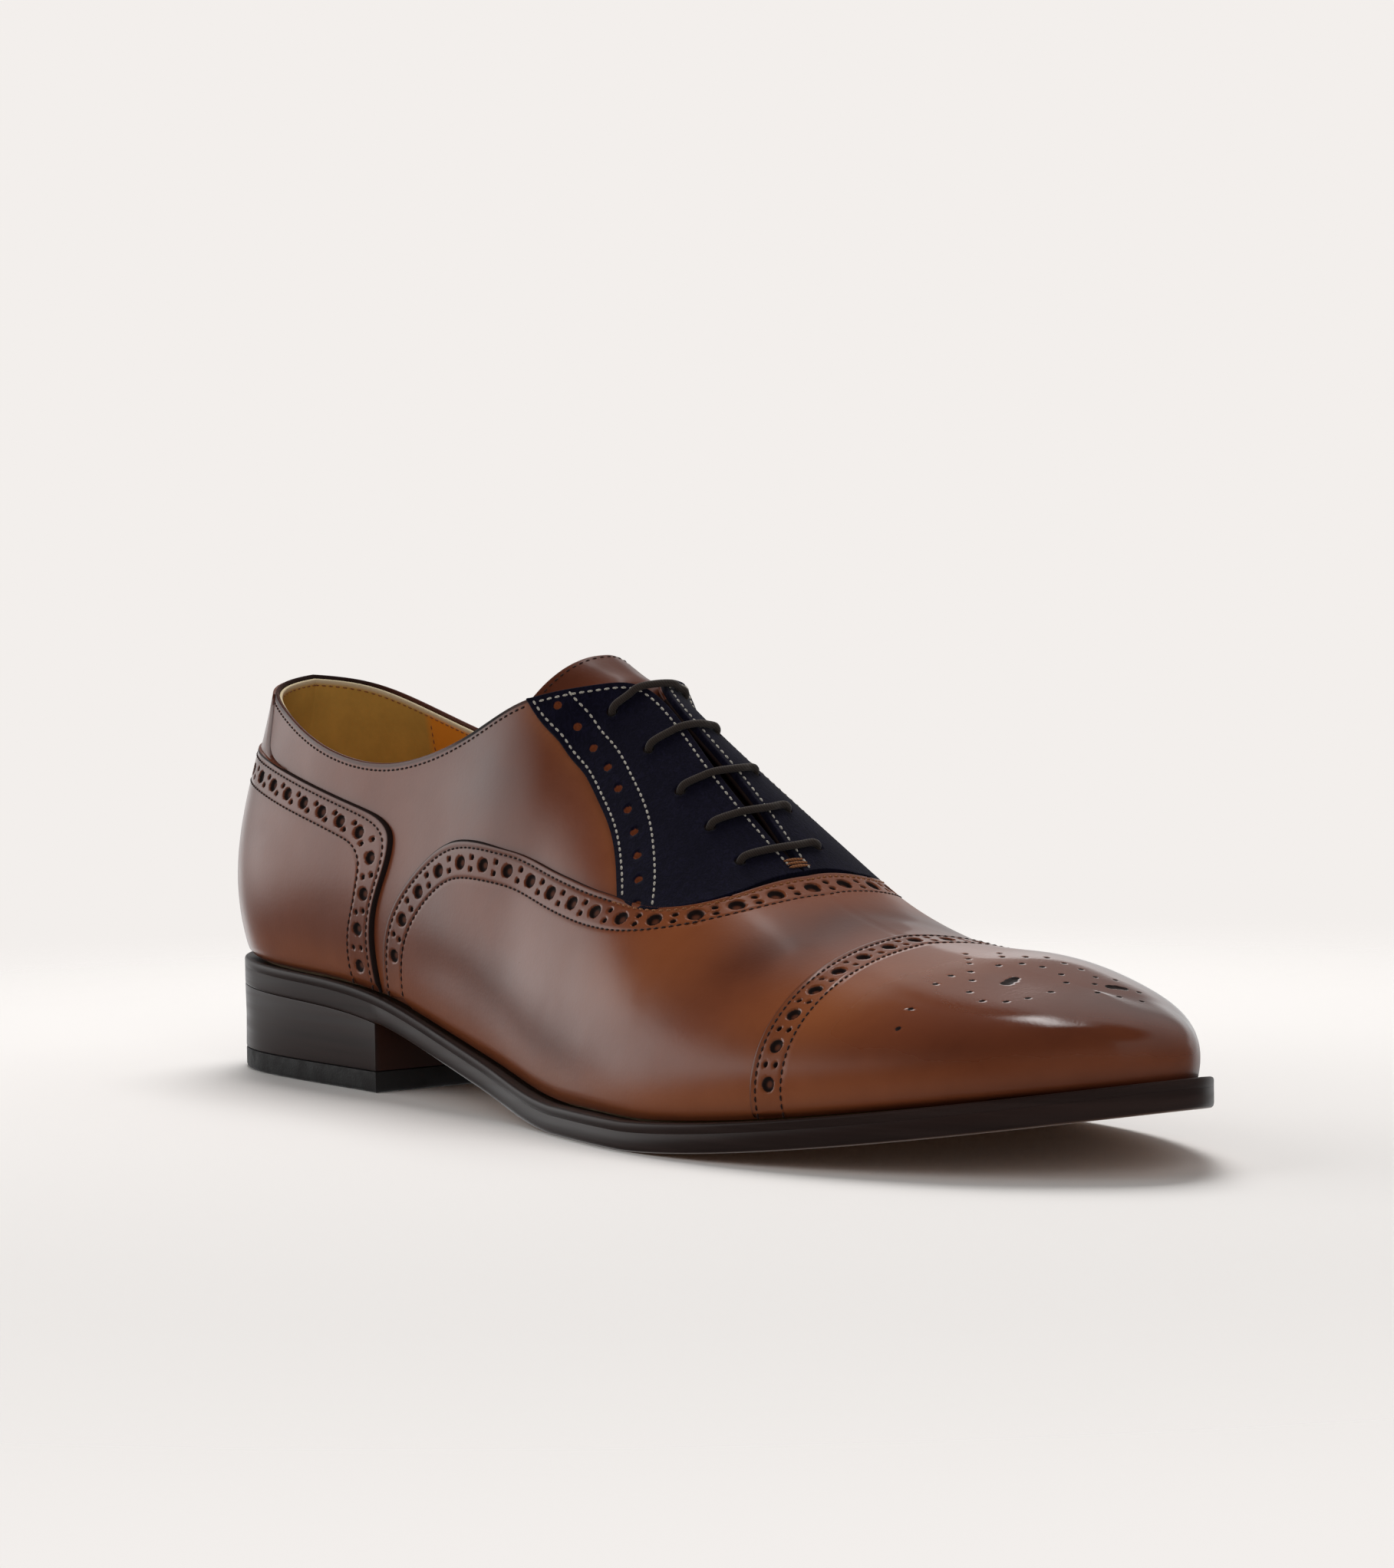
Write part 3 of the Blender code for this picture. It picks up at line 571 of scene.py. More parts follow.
def ribbon(top, low_near, low_far):
    """Closed narrow strip: a fine upper face, and one face below between its two long edges."""
    rows, columns = top.shape[:2]
    count = rows * columns
    points = np.concatenate([top.reshape(-1, 3), low_near, low_far])
    i = np.arange(columns - 1)
    near, far, last_row = count + i, count + columns + i, (rows - 1) * columns + i
    faces = grid_faces(rows, columns).tolist()
    faces += np.column_stack([i + 1, i, near, near + 1]).tolist()
    faces += np.column_stack([last_row, last_row + 1, far + 1, far]).tolist()
    faces += np.column_stack([near + 1, near, far, far + 1]).tolist()
    start = np.arange(rows) * columns
    faces.append(start.tolist() + [count + columns, count])
    faces.append((start[::-1] + columns - 1).tolist() + [count + columns - 1, count + 2 * columns - 1])
    return points, faces


# Distance given to points that have no hole near them, and where a hole's rim starts and ends to fall
NO_HOLE = 9.0
HOLE_RIM = (-0.12, 0.3)


def hole_distance(points, centres, radii):
    """Signed distance in millimetres to the rim of the nearest hole, negative inside it."""
    flat = points.reshape(-1, 3)
    nearest = np.full(len(flat), NO_HOLE)
    for centre, radius in zip(centres, radii):
        nearest = np.minimum(nearest, np.linalg.norm(flat - centre, axis=1) - radius)
    return nearest.reshape(points.shape[:-1])


def press(points, normals, distance, depth):
    """Push points inside a hole down by depth, with a rounded rim."""
    return points - (depth * smooth(-distance, *HOLE_RIM))[..., None] * normals


def from_sides(points):
    """Distance of a grid's points to the first or the last of their row, whichever is nearer."""
    first = np.linalg.norm(points - points[:, :1], axis=-1)
    last = np.linalg.norm(points - points[:, -1:], axis=-1)
    return np.minimum(first, last)


# Band along a panel's edge, mm from that edge
LIP = 0.5
SINK = 0.2
OUTER_STITCH = 1.6
HOLE_ROW = 4.6
PIN_SPREAD = 1.3
INNER_STITCH = 7.7
GROOVE = 0.14
GROOVE_WIDTH = 0.4
HOLE_DEPTH = 0.8
BAND_DEPTH = 0.6
LONG_HOLES = np.array((1.18, 1.18, 0.92))
BAND_PITCH = 0.34
BAND_ROWS = np.unique(np.concatenate([
    (0.0, 0.04, 0.1, 0.2, 0.34, 0.5, 0.75, 1.0, 1.3), np.arange(1.6, INNER_STITCH, 0.3),
    (HOLE_ROW, INNER_STITCH)]))

# Panels: how deep they reach into the quarter, and how they are tucked in at the feather line
PANEL_DEPTH = 0.5
FEATHER_TUCK = 0.35
FEATHER_RISE = 0.035
CAP_OVER_VAMP = 0.35

# Darkening of the calf: burnish everywhere, painted shade beside the welt where the upper meets it, a dark
# cut edge, and burnish inward from it
BASE_DARK = 0.06
WELT_SHADE = 0.5
WELT_REACH = 1.6
CUT_DARK = 1.1
CUT_WIDTH = 0.45
EDGE_DARK = 0.22
EDGE_REACH = 7.0


def band_row(distance):
    """Number of the band's row that lies at a distance from the panel's edge."""
    return int(np.argmin(np.abs(BAND_ROWS - distance)))


def lip_height(distance, height, rolled):
    """Height near an edge: a quarter round that starts under the surface, or flat where not rolled."""
    rise = np.sqrt(1 - (1 - np.clip(distance / LIP, 0, 1)) ** 2)
    return height - rolled * (height + SINK) * (1 - rise)


def strokes(table, x, above):
    """Sum of soft strokes, each its amount times a bell along the shoe and a bell above the welt."""
    return sum(row[0] * bump_at(x, row[1], row[2]) * bump_at(above, row[3], row[4]) for row in table)


def tone(points, edge=None):
    """Burnish and painted shade of the calf by place: (dark, tan), both 0 to 1; a panel's cut edge is dark
    too.
    """
    x, _, z = np.moveaxis(points, -1, 0)
    above = z - sole_top(x)
    # Painted shade: the welt term where the upper meets the welt, and the strokes along the side crease and
    # across the vamp
    dark = BASE_DARK + strokes(DARK_STROKES, x, above) + WELT_SHADE * smooth(-above, -WELT_REACH, 0.0)
    if edge is not None:
        dark = dark + CUT_DARK * bump_at(edge, 0.0, CUT_WIDTH) + EDGE_DARK * np.exp(-edge / EDGE_REACH)
    return np.clip(dark, 0, 1), np.clip(strokes(TAN_STROKES, x, above), 0, 1)


def tucked(lift, rise, height):
    """Height of a panel, held down near the feather line."""
    return np.minimum(lift, FEATHER_TUCK + (height - FEATHER_TUCK) * smooth(rise, 0.0, FEATHER_RISE))


def band_strip(knots, side, inner):
    """Rib and rise of a band's rows: square steps from its seam, or rungs to an inner line if it has one."""
    path = seam(knots, BAND_PITCH)
    if inner is None:
        strip = eased(eased(walk(path, BAND_ROWS, side)))
    else:
        line = seam(inner, BAND_PITCH)
        shares = np.linspace(0.0, 1.0, len(path)), np.linspace(0.0, 1.0, len(line))
        strip = ruled(path, read_along(*shares, line), BAND_ROWS / INNER_STITCH)
    middle_line = 1 if knots[-1][1] == 1.0 else 0
    strip[:, -1, middle_line] = knots[-1][middle_line]
    return strip


def seam_band(name, knots, side, height, rolled, replaces, spacing=1.0, stretch=1.0, inner=None):
    """Punched band along a panel's edge: large holes with pairs of pinholes between two stitch lines.

    Returns the strip of rib and rise on the outer side, for the panel's body and its stitches.
    """
    sizes = bpy.context.scene.oxford_sizes
    pitch = spacing * sizes.hole_pitch / MM
    strip = band_strip(knots, side, inner)
    u, v = np.moveaxis(both_sides(strip), -1, 0)
    grooves = bump_at(BAND_ROWS, OUTER_STITCH, GROOVE_WIDTH) + bump_at(BAND_ROWS, INNER_STITCH, GROOVE_WIDTH)
    lift = lip_height(BAND_ROWS[:, None], height, rolled(u[0])) - GROOVE * grooves[:, None]
    normals = outward(u, v)
    top = last_point(u, v) + tucked(lift, v, height)[..., None] * normals
    run = run_length(top[band_row(HOLE_ROW)])
    middle = run[-1] / 2
    count = int(middle / pitch - 0.5)
    at = middle + np.arange(-count, count + 1) * pitch
    between = at[:-1] + pitch / 2
    centres = []
    radii = []
    for places, offset, radius in ((at, 0.0, sizes.hole), (between, -PIN_SPREAD, sizes.pinhole),
                                   (between, PIN_SPREAD, sizes.pinhole)):
        centres.append(read_along(places, run, top[band_row(HOLE_ROW + offset)]))
        radii.append(np.full(len(places), radius / MM))
    distance = hole_distance(top / stretch, np.concatenate(centres) / stretch, np.concatenate(radii))
    dark, tan = tone(top, np.broadcast_to(BAND_ROWS[:, None], distance.shape))
    top = press(top, normals, distance, HOLE_DEPTH)
    points, faces = ribbon(top, skin(u[0], v[0], -BAND_DEPTH), skin(u[-1], v[-1], -BAND_DEPTH))
    spare = np.zeros(len(points) - distance.size)
    make_piece(name, points, faces, "calf_burnish_and_shade", "brown_calf", replaces,
               punch=np.concatenate([distance.ravel(), spare + NO_HOLE]),
               dark=np.concatenate([dark.ravel(), spare]), tan=np.concatenate([tan.ravel(), spare]))
    return strip


def panel_body(name, strip, height, replaces, dents=None, holes=None):
    """Panel body on both sides of the shoe from one strip; its first row lies along the band."""
    faces = grid_faces(*strip.shape[:2])
    u, v = np.moveaxis(np.stack([strip, mirrored(strip)]), -1, 0)
    base, normals = last_point(u, v), outward(u, v)
    groove = GROOVE * bump_at(run_length(base, 1), 0.0, GROOVE_WIDTH)
    lift = tucked(height - groove, v, height)
    if dents is not None:
        lift = lift + dents(base)
    low = base - PANEL_DEPTH * normals
    normals = normals.reshape(-1, 3)
    top = base.reshape(-1, 3) + lift.reshape(-1, 1) * normals
    dark, tan = tone(top)
    punch = np.full(len(top), NO_HOLE)
    if holes is not None:
        punch = np.maximum(hole_distance(top, *holes(top)), MEDALLION_DEEPEST)
        top = press(top, normals, punch + MEDALLION_RIM, MEDALLION_DEPTH)
    sheet_piece(name, base, top, low, np.concatenate([faces, faces + u[0].size]), "calf_burnish_and_shade",
                "brown_calf", replaces, dark=dark, tan=tan, punch=punch)


def foot_line(path, table):
    """Feet of a panel's rungs: ribs on the feather line by share of the seam's length."""
    run = run_length(last_point(*path.T))
    ribs = np.interp(run / run[-1], *np.array(table).T)
    return np.column_stack([ribs, np.zeros(len(path))])


# Creases over the vamp's top: depth, x on the middle line and width; how they run back, and their heights
TOP_CREASES = ((0.10, 206.0, 4.5), (0.05, 216.0, 5.0))
TOP_LEAN = 0.55
TOP_HEIGHT = (22.0, 36.0)

# Crease along the vamp's side: its line as x and height, depth and width, where it starts and ends along x
SIDE_CREASE = ((93.0, 30.8), (103.0, 29.0), (118.0, 26.3), (130.0, 22.4), (146.0, 16.9), (161.0, 14.0),
               (176.0, 12.1), (190.0, 10.6))
SIDE_DEPTH = 0.4
SIDE_WIDTH = 5.5
SIDE_START = (84.0, 108.0)
SIDE_END = (165.0, 196.0)

# Crinkles low on the vamp's sides: place and reach along x and in height, depth, slant, length and wobble
CRINKLE_X = (207.0, 8.0)
CRINKLE_Z = (25.0, 5.0)
CRINKLE_DEPTH = 0.045
CRINKLE_SLANT = 0.75
CRINKLE_LENGTH = 2.3
WOBBLE = 0.8
WOBBLE_LENGTH = 1.7


def vamp_creases(points):
    """Creases where the foot bends: soft troughs over the top and along the side, and fine crinkles.

    A trough is a bell across its line that dies out at its ends: the two on top run back as they go down,
    the one on the side falls from the waist to the welt. The crinkles are a short slanting wave inside a
    bell around their place.
    """
    x, y, z = np.moveaxis(points, -1, 0)
    back = x - TOP_LEAN * np.abs(y)
    over = smooth(z, *TOP_HEIGHT) * sum(depth * bump_at(back, at, width) for depth, at, width in TOP_CREASES)
    line = np.interp(x, *np.array(SIDE_CREASE).T)
    ends = smooth(x, *SIDE_START) * (1 - smooth(x, *SIDE_END))
    beside = SIDE_DEPTH * bump_at(z, line, SIDE_WIDTH) * ends
    patch = bump_at(x, *CRINKLE_X) * bump_at(z, *CRINKLE_Z)
    slanted = (x - CRINKLE_SLANT * z) / CRINKLE_LENGTH
    wave = np.sin(2 * np.pi * slanted + WOBBLE * np.sin(z / WOBBLE_LENGTH))
    return CRINKLE_DEPTH * patch * wave - over - beside


# Stitches: length as a share of the pitch, half profile as places and widths, dip of the ends, corners
STITCH_LENGTH = 0.68
STITCH_PROFILE = np.array([(-1.0, 0.30), (-0.72, 0.86), (0.0, 1.0), (0.72, 0.86), (1.0, 0.30)])
STITCH_DIP = 0.5
STITCH_SIDES = 6


def stitch_rows(name, lines, pitch, radius, finish_name):
    """Rows of stitches joined in one mesh: one small capsule at each step along the lines.

    A capsule is a ring of six points carried along a short profile; every copy is placed at once by
    the tangent, normal and binormal where it lies.
    """
    turn = np.arange(STITCH_SIDES) * 2 * np.pi / STITCH_SIDES
    rings = len(STITCH_PROFILE)
    along = np.repeat(STITCH_PROFILE[:, 0], STITCH_SIDES)[:, None]
    wide = np.repeat(STITCH_PROFILE[:, 1], STITCH_SIDES)[:, None]
    aside = wide * np.tile(np.cos(turn), rings)[:, None]
    above = wide * np.tile(np.sin(turn), rings)[:, None] - STITCH_DIP * along ** 2
    half = 0.5 * STITCH_LENGTH * pitch
    placed = []
    for points, normals in lines:
        run = run_length(points)
        places = np.arange(pitch / 2, run[-1], pitch)
        centre = read_along(places, run, points)
        normal = unit(read_along(places, run, normals))
        tangent = read_along(places, run, np.gradient(points, axis=0))
        tangent = unit(tangent - (tangent * normal).sum(-1, keepdims=True) * normal)
        across = np.cross(normal, tangent)
        placed.append(centre[:, None] + half * along * tangent[:, None]
                      + radius * aside * across[:, None] + radius * above * normal[:, None])
    placed = np.concatenate(placed)
    ring = np.arange(STITCH_SIDES)
    caps = np.stack([ring[::-1], ring + len(along) - STITCH_SIDES])
    starts = (np.arange(len(placed)) * len(along))[:, None, None]
    faces = (grid_faces(rings, STITCH_SIDES, wrap=True) + starts).reshape(-1, 4).tolist()
    faces += (caps + starts).reshape(-1, STITCH_SIDES).tolist()
    make_piece(name, placed, faces, finish_name, "lace_cord")


def line_on(path, lift, mirror=False):
    """Points and normals along rib and rise, lifted off the last; on the inner side if mirror is set."""
    u = RING - path[:, 0] if mirror else path[:, 0]
    normals = outward(u, path[:, 1])
    return last_point(u, path[:, 1]) + lift * normals, normals


def pair_on(path, lift):
    """The same line on the outer and on the inner side."""
    return [line_on(path, lift), line_on(path, lift, True)]


# Materials
def add_node(tree, kind, inputs=None, **settings):
    """New shader node with its settings; each input is linked to a socket or set to a value."""
    node = tree.nodes.new(kind)
    for key, value in settings.items():
        setattr(node, key, value)
    for key, value in (inputs or {}).items():
        if isinstance(value, bpy.types.NodeSocket):
            tree.links.new(value, node.inputs[key])
        else:
            node.inputs[key].default_value = value
    return node


def new_group(name, inputs, outputs):
    """Shader node group with named sockets: (tree, its input node, its output node)."""
    tree = bpy.data.node_groups.new(name, "ShaderNodeTree")
    for direction, sockets in (("INPUT", inputs), ("OUTPUT", outputs)):
        for socket, (form, value) in sockets.items():
            made = tree.interface.new_socket(socket, in_out=direction, socket_type=form)
            if value is not None:
                made.default_value = value
    return tree, tree.nodes.new("NodeGroupInput"), tree.nodes.new("NodeGroupOutput")


def mix_colours(tree, factor, a, b):
    """Colour mix; each of factor, a and b is a socket or a value."""
    return add_node(tree, "ShaderNodeMix", {0: factor, 6: a, 7: b}, data_type="RGBA").outputs[2]


def math(tree, operation, a, b=0.0):
    """Sum, product or other operation on two numbers or sockets."""
    return add_node(tree, "ShaderNodeMath", {0: a, 1: b}, operation=operation).outputs[0]


def ramp(tree, value, low, high, to_low=0.0, to_high=1.0):
    """Smooth step of a socket from one range to another."""
    limits = {"Value": value, "From Min": low, "From Max": high, "To Min": to_low, "To Max": to_high}
    return add_node(tree, "ShaderNodeMapRange", limits, interpolation_type="SMOOTHSTEP").outputs["Result"]


def object_place(tree):
    """Place on the piece itself."""
    return add_node(tree, "ShaderNodeTexCoord").outputs["Object"]


def noise(tree, place, scale, detail=3.0, distortion=0.0, stretch=None):
    """Noise value by place, stretched along the axes if asked."""
    if stretch is not None:
        place = add_node(tree, "ShaderNodeMapping", {"Vector": place, "Scale": stretch}).outputs["Vector"]
    inputs = {"Vector": place, "Scale": scale, "Detail": detail, "Distortion": distortion}
    return add_node(tree, "ShaderNodeTexNoise", inputs).outputs["Fac"]


def attribute(tree, name):
    """A value stored on the piece's points."""
    return add_node(tree, "ShaderNodeAttribute", attribute_name=name).outputs["Fac"]


def mottle_group():
    """Cloudy change between two colours, from two sizes of noise."""
    tree, inside, outside = new_group(
        "mottle", {"Colour A": ("NodeSocketColor", None), "Colour B": ("NodeSocketColor", None),
                   "Scale": ("NodeSocketFloat", 60.0), "Amount": ("NodeSocketFloat", 0.5)},
        {"Colour": ("NodeSocketColor", None), "Mask": ("NodeSocketFloat", None)})
    place = object_place(tree)
    broad = add_node(tree, "ShaderNodeTexNoise", {"Vector": place, "Scale": inside.outputs["Scale"],
                                                  "Detail": 4.0, "Roughness": 0.6})
    fine = math(tree, "MULTIPLY", noise(tree, place, 900.0, 2.0), 0.2)
    mask = math(tree, "ADD", ramp(tree, broad.outputs["Fac"], 0.32, 0.70, 0.0, 0.8), fine)
    amount = math(tree, "MULTIPLY", mask, inside.outputs["Amount"])
    colour = mix_colours(tree, amount, inside.outputs["Colour A"], inside.outputs["Colour B"])
    tree.links.new(colour, outside.inputs["Colour"])
    tree.links.new(mask, outside.inputs["Mask"])


def grain_group():
    """Leather grain as a height: fine pebbles from cells, over softer noise."""
    tree, inside, outside = new_group(
        "grain", {"Scale": ("NodeSocketFloat", 1500.0)}, {"Height": ("NodeSocketFloat", None)})
    place = object_place(tree)
    cells = add_node(tree, "ShaderNodeTexVoronoi", {"Vector": place, "Scale": inside.outputs["Scale"]},
                     feature="SMOOTH_F1")
    pebbles = math(tree, "MULTIPLY", cells.outputs["Distance"], 0.5)
    soft = math(tree, "MULTIPLY", noise(tree, place, 420.0, 3.0), 0.8)
    tree.links.new(math(tree, "ADD", pebbles, soft), outside.inputs["Height"])


def use_group(tree, name, inputs):
    """Outputs of a node group placed in a material with its own values."""
    return add_node(tree, "ShaderNodeGroup", inputs, node_tree=bpy.data.node_groups[name]).outputs


def finish_of(name, **sockets):
    """New material and its shader, with plain values set on the shader's own sockets."""
    material = bpy.data.materials.new(name)
    material.use_nodes = True
    shader = material.node_tree.nodes["Principled BSDF"]
    for key, value in sockets.items():
        shader.inputs[key.replace("_", " ")].default_value = value
    return material, material.node_tree, shader


def add_bump(tree, shader, height, strength, distance):
    """Bump from a height socket into the shader's normal."""
    node = add_node(tree, "ShaderNodeBump", {"Height": height, "Strength": strength, "Distance": distance})
    tree.links.new(node.outputs["Normal"], shader.inputs["Normal"])


def add_grain(tree, shader, scale, strength, distance):
    """Bump from leather grain."""
    add_bump(tree, shader, use_group(tree, "grain", {"Scale": scale})["Height"], strength, distance)


def shaded(colour, factor):
    """A colour made darker or lighter."""
    return tuple(min(1.0, factor * part) for part in colour[:3]) + (1.0,)


def calf_finish(colours):
    """Calf: brown mottled by place, dark where burnished and where shade is painted, tan where left, near
    black in the holes as painted shade.

    The polish, a clear coat, grows from the quarter to the toe, and the toe's own gloss with it.
    """
    material, tree, shader = finish_of("calf_burnish_and_shade", Coat_Roughness=0.06, Specular_IOR_Level=0.38)
    body = use_group(tree, "mottle", {"Colour A": colours.calf, "Colour B": colours.calf_dark,
                                      "Scale": 34.0, "Amount": 0.24})
    place = object_place(tree)
    cloud = noise(tree, place, 70.0, 4.0, 0.4)
    burnish_and_shade = attribute(tree, "dark")
    punch = attribute(tree, "punch")
    tan = math(tree, "MULTIPLY", attribute(tree, "tan"), ramp(tree, cloud, 0.25, 0.6, 0.55, 1.0))
    dark = math(tree, "MULTIPLY", burnish_and_shade, ramp(tree, cloud, 0.25, 0.75, 1.15, 0.8))
    hole = ramp(tree, punch, -0.10, 0.08, 1.0, 0.0)
    colour = mix_colours(tree, tan, body["Colour"], colours.calf_warm)
    colour = mix_colours(tree, dark, colour, colours.calf_dark)
    colour = mix_colours(tree, ramp(tree, burnish_and_shade, 0.72, 0.95), colour, colours.punch)
    # Holes: a near black rim and a browner middle, painted shade in the hole
    colour = mix_colours(tree, hole, colour, colours.punch)
    colour = mix_colours(tree, ramp(tree, punch, -1.2, -0.5, 0.5, 0.0), colour, colours.calf)
    tree.links.new(colour, shader.inputs["Base Color"])
    dull = math(tree, "MAXIMUM", hole, ramp(tree, burnish_and_shade, 0.65, 0.95))
    split = add_node(tree, "ShaderNodeSeparateXYZ", {"Vector": place}).outputs
    upward = ramp(tree, split["Z"], 0.020, 0.029)
    gloss = math(tree, "MULTIPLY", ramp(tree, split["X"], 0.088, 0.102, 0.0, 0.6), upward)
    rough = ramp(tree, cloud, 0.2, 0.8, 0.27, 0.36)
    rough = math(tree, "MULTIPLY", rough, math(tree, "SUBTRACT", 1.0, gloss))
    tree.links.new(math(tree, "ADD", rough, math(tree, "MULTIPLY", dull, 0.4)), shader.inputs["Roughness"])
    polish = math(tree, "MULTIPLY", ramp(tree, split["X"], 0.04, 0.10, 0.10, 0.60), upward)
    polish = math(tree, "MULTIPLY", polish, math(tree, "SUBTRACT", 1.0, dull))
    tree.links.new(polish, shader.inputs["Coat Weight"])
    add_grain(tree, shader, 1600.0, 0.10, 0.0002)
    return material


def cloth_finish(colours):
    """Dark blue napped cloth: short fibres as stretched noise, brown leather seen through its holes."""
    material, tree, shader = finish_of("navy_flannel", Roughness=0.95, Specular_IOR_Level=0.05,
                                       Sheen_Weight=0.05, Sheen_Roughness=0.5)
    place = object_place(tree)
    fibre = noise(tree, place, 1100.0, 4.0, 1.5, (1.0, 1.0, 0.35))
    cloud = ramp(tree, noise(tree, place, 160.0, 3.0), 0.3, 0.7, 0.4, 1.0)
    nap = math(tree, "MULTIPLY", ramp(tree, fibre, 0.35, 0.75, 0.0, 0.55), cloud)
    colour = mix_colours(tree, nap, colours.cloth, shaded(colours.cloth, 3.2))
    # Brown calf shows through the strip's holes; the eyelets and the pins beside the strip take the holes'
    # near black, painted shade
    for name, seen in (("punch", colours.calf), ("eyelet", colours.punch)):
        colour = mix_colours(tree, ramp(tree, attribute(tree, name), -0.10, 0.10, 1.0, 0.0), colour, seen)
    tree.links.new(colour, shader.inputs["Base Color"])
    add_bump(tree, shader, fibre, 0.5, 0.0003)
    return material


def lining_finish(colours):
    """Lining leather: straw colour at the heel, orange tan ahead of its seam, pale along its cut edge."""
    material, tree, shader = finish_of("straw_lining", Specular_IOR_Level=0.15)
    rear = shaded(colours.lining, 0.55)
    body = use_group(tree, "mottle", {"Colour A": colours.lining, "Colour B": rear,
                                      "Scale": 55.0, "Amount": 0.6})
    colour = mix_colours(tree, attribute(tree, "front"), body["Colour"], colours.lining_front)
    colour = mix_colours(tree, attribute(tree, "cut"), colour, colours.cream)
    tree.links.new(colour, shader.inputs["Base Color"])
    tree.links.new(ramp(tree, body["Mask"], 0.0, 1.0, 0.5, 0.68), shader.inputs["Roughness"])
    add_grain(tree, shader, 1100.0, 0.15, 0.0003)
    return material


def mottled_finish(name, colour, worn, scale, amount, rough, specular):
    """Finish that changes softly between a colour and its worn shade, rougher where worn."""
    material, tree, shader = finish_of(name, Specular_IOR_Level=specular)
    body = use_group(tree, "mottle", {"Colour A": colour, "Colour B": shaded(colour, worn), "Scale": scale,
                                      "Amount": amount})
    tree.links.new(body["Colour"], shader.inputs["Base Color"])
    tree.links.new(ramp(tree, body["Mask"], 0.0, 1.0, *rough), shader.inputs["Roughness"])
    return material, tree, shader


def sock_finish(colours):
    """Leather sock: straw colour, softly marked."""
    material, tree, shader = mottled_finish("sock_leather", colours.sock, 0.6, 40.0, 0.7, (0.55, 0.7), 0.3)
    add_grain(tree, shader, 1000.0, 0.15, 0.0003)
    return material


def rubber_finish(colours):
    """Top lift: dull rubber with a fine grain."""
    material, tree, shader = mottled_finish("black_rubber", colours.rubber, 2.4, 220.0, 0.6, (0.6, 0.8), 0.35)
    add_grain(tree, shader, 2600.0, 0.3, 0.0003)
    return material


def edge_finish(colours):
    """Inked sole and heel edges: near-black brown with faint layers, bare leather on the underside."""
    material, tree, shader = finish_of("edge_ink", Specular_IOR_Level=0.15)
    layers = noise(tree, object_place(tree), 300.0, 3.0, 0.0, (0.05, 0.05, 1.6))
    colour = mix_colours(tree, ramp(tree, layers, 0.35, 0.7, 0.0, 0.5), colours.edge_ink,
                         shaded(colours.edge_ink, 2.0))
    colour = mix_colours(tree, attribute(tree, "breast"), colour, colours.breast)
    colour = mix_colours(tree, attribute(tree, "under"), colour, colours.underside)
    tree.links.new(colour, shader.inputs["Base Color"])
    tree.links.new(ramp(tree, layers, 0.2, 0.8, 0.30, 0.42), shader.inputs["Roughness"])
    add_bump(tree, shader, layers, 0.08, 0.0003)
    return material


def cord_finish(name, colour, strength):
    """Thread or lace: strands as a fine slanted wave by place, with soft fibres."""
    material, tree, shader = finish_of(name, Specular_IOR_Level=0.3, Sheen_Weight=0.1)
    wave = {"Vector": object_place(tree), "Scale": 900.0, "Distortion": 2.0, "Detail": 2.0}
    strands = add_node(tree, "ShaderNodeTexWave", wave, bands_direction="DIAGONAL").outputs["Fac"]
    tree.links.new(mix_colours(tree, strands, shaded(colour, 0.6), colour), shader.inputs["Base Color"])
    tree.links.new(ramp(tree, strands, 0.0, 1.0, 0.75, 0.6), shader.inputs["Roughness"])
    add_bump(tree, shader, strands, strength, 0.0002)
    return material


def finish(name):
    """A finish by name; made with its node groups on first use."""
    colours = bpy.context.scene.oxford_colours
    if "mottle" not in bpy.data.node_groups:
        mottle_group()
        grain_group()
    makers = {
        "calf_burnish_and_shade": lambda: calf_finish(colours),
        "navy_flannel": lambda: cloth_finish(colours),
        "straw_lining": lambda: lining_finish(colours),
        "sock_leather": lambda: sock_finish(colours),
        "edge_ink": lambda: edge_finish(colours),
        "black_rubber": lambda: rubber_finish(colours),
        "waxed_lace": lambda: cord_finish("waxed_lace", colours.lace, 0.12),
        "brown_thread": lambda: cord_finish("brown_thread", colours.thread_brown, 0.3),
        "tan_thread": lambda: cord_finish("tan_thread", colours.thread_tan, 0.3),
        "white_thread": lambda: cord_finish("white_thread", colours.thread_white, 0.3),
    }
    return bpy.data.materials.get(name) or makers[name]()


# Upper and lining: walls, grid, how far the lining's edge stays down and how much more at the throat
UPPER_WALL = 0.9
LINING_WALL = 0.8
LINING_GAP = 0.04
UPPER_COLUMNS = 8 * RING
UPPER_RISE = 1 - np.linspace(1.0, 0.0, 48) ** 1.5
EDGE_TURN = np.linspace(0.0, np.pi, 7)
LINING_DROP = 0.011
THROAT_DROP = 8.0
THROAT_START = (7.4, 8.2)
THROAT_END = (10.3, THROAT_RIB)
LINING_SEAM_RIB = 2.1
LINING_SEAM_WIDTH = 0.03
LINING_CUT = (0.988, 0.994)

# Tone of the quarter: tan beside the facings, a dark edge at the collar, and painted shade in the slit under
# the laces, given the holes' colour
FACING_TAN = 0.95
FACING_TAN_REACH = 2.0
COLLAR_DARK = 0.66
COLLAR_EDGE = (0.984, 0.992)
COLLAR_END = 8.2
SLIT_RISE = 0.93
SLIT_RIB = 9.4
SLIT_REACH = 1.35
SLIT_SHADE = -0.3

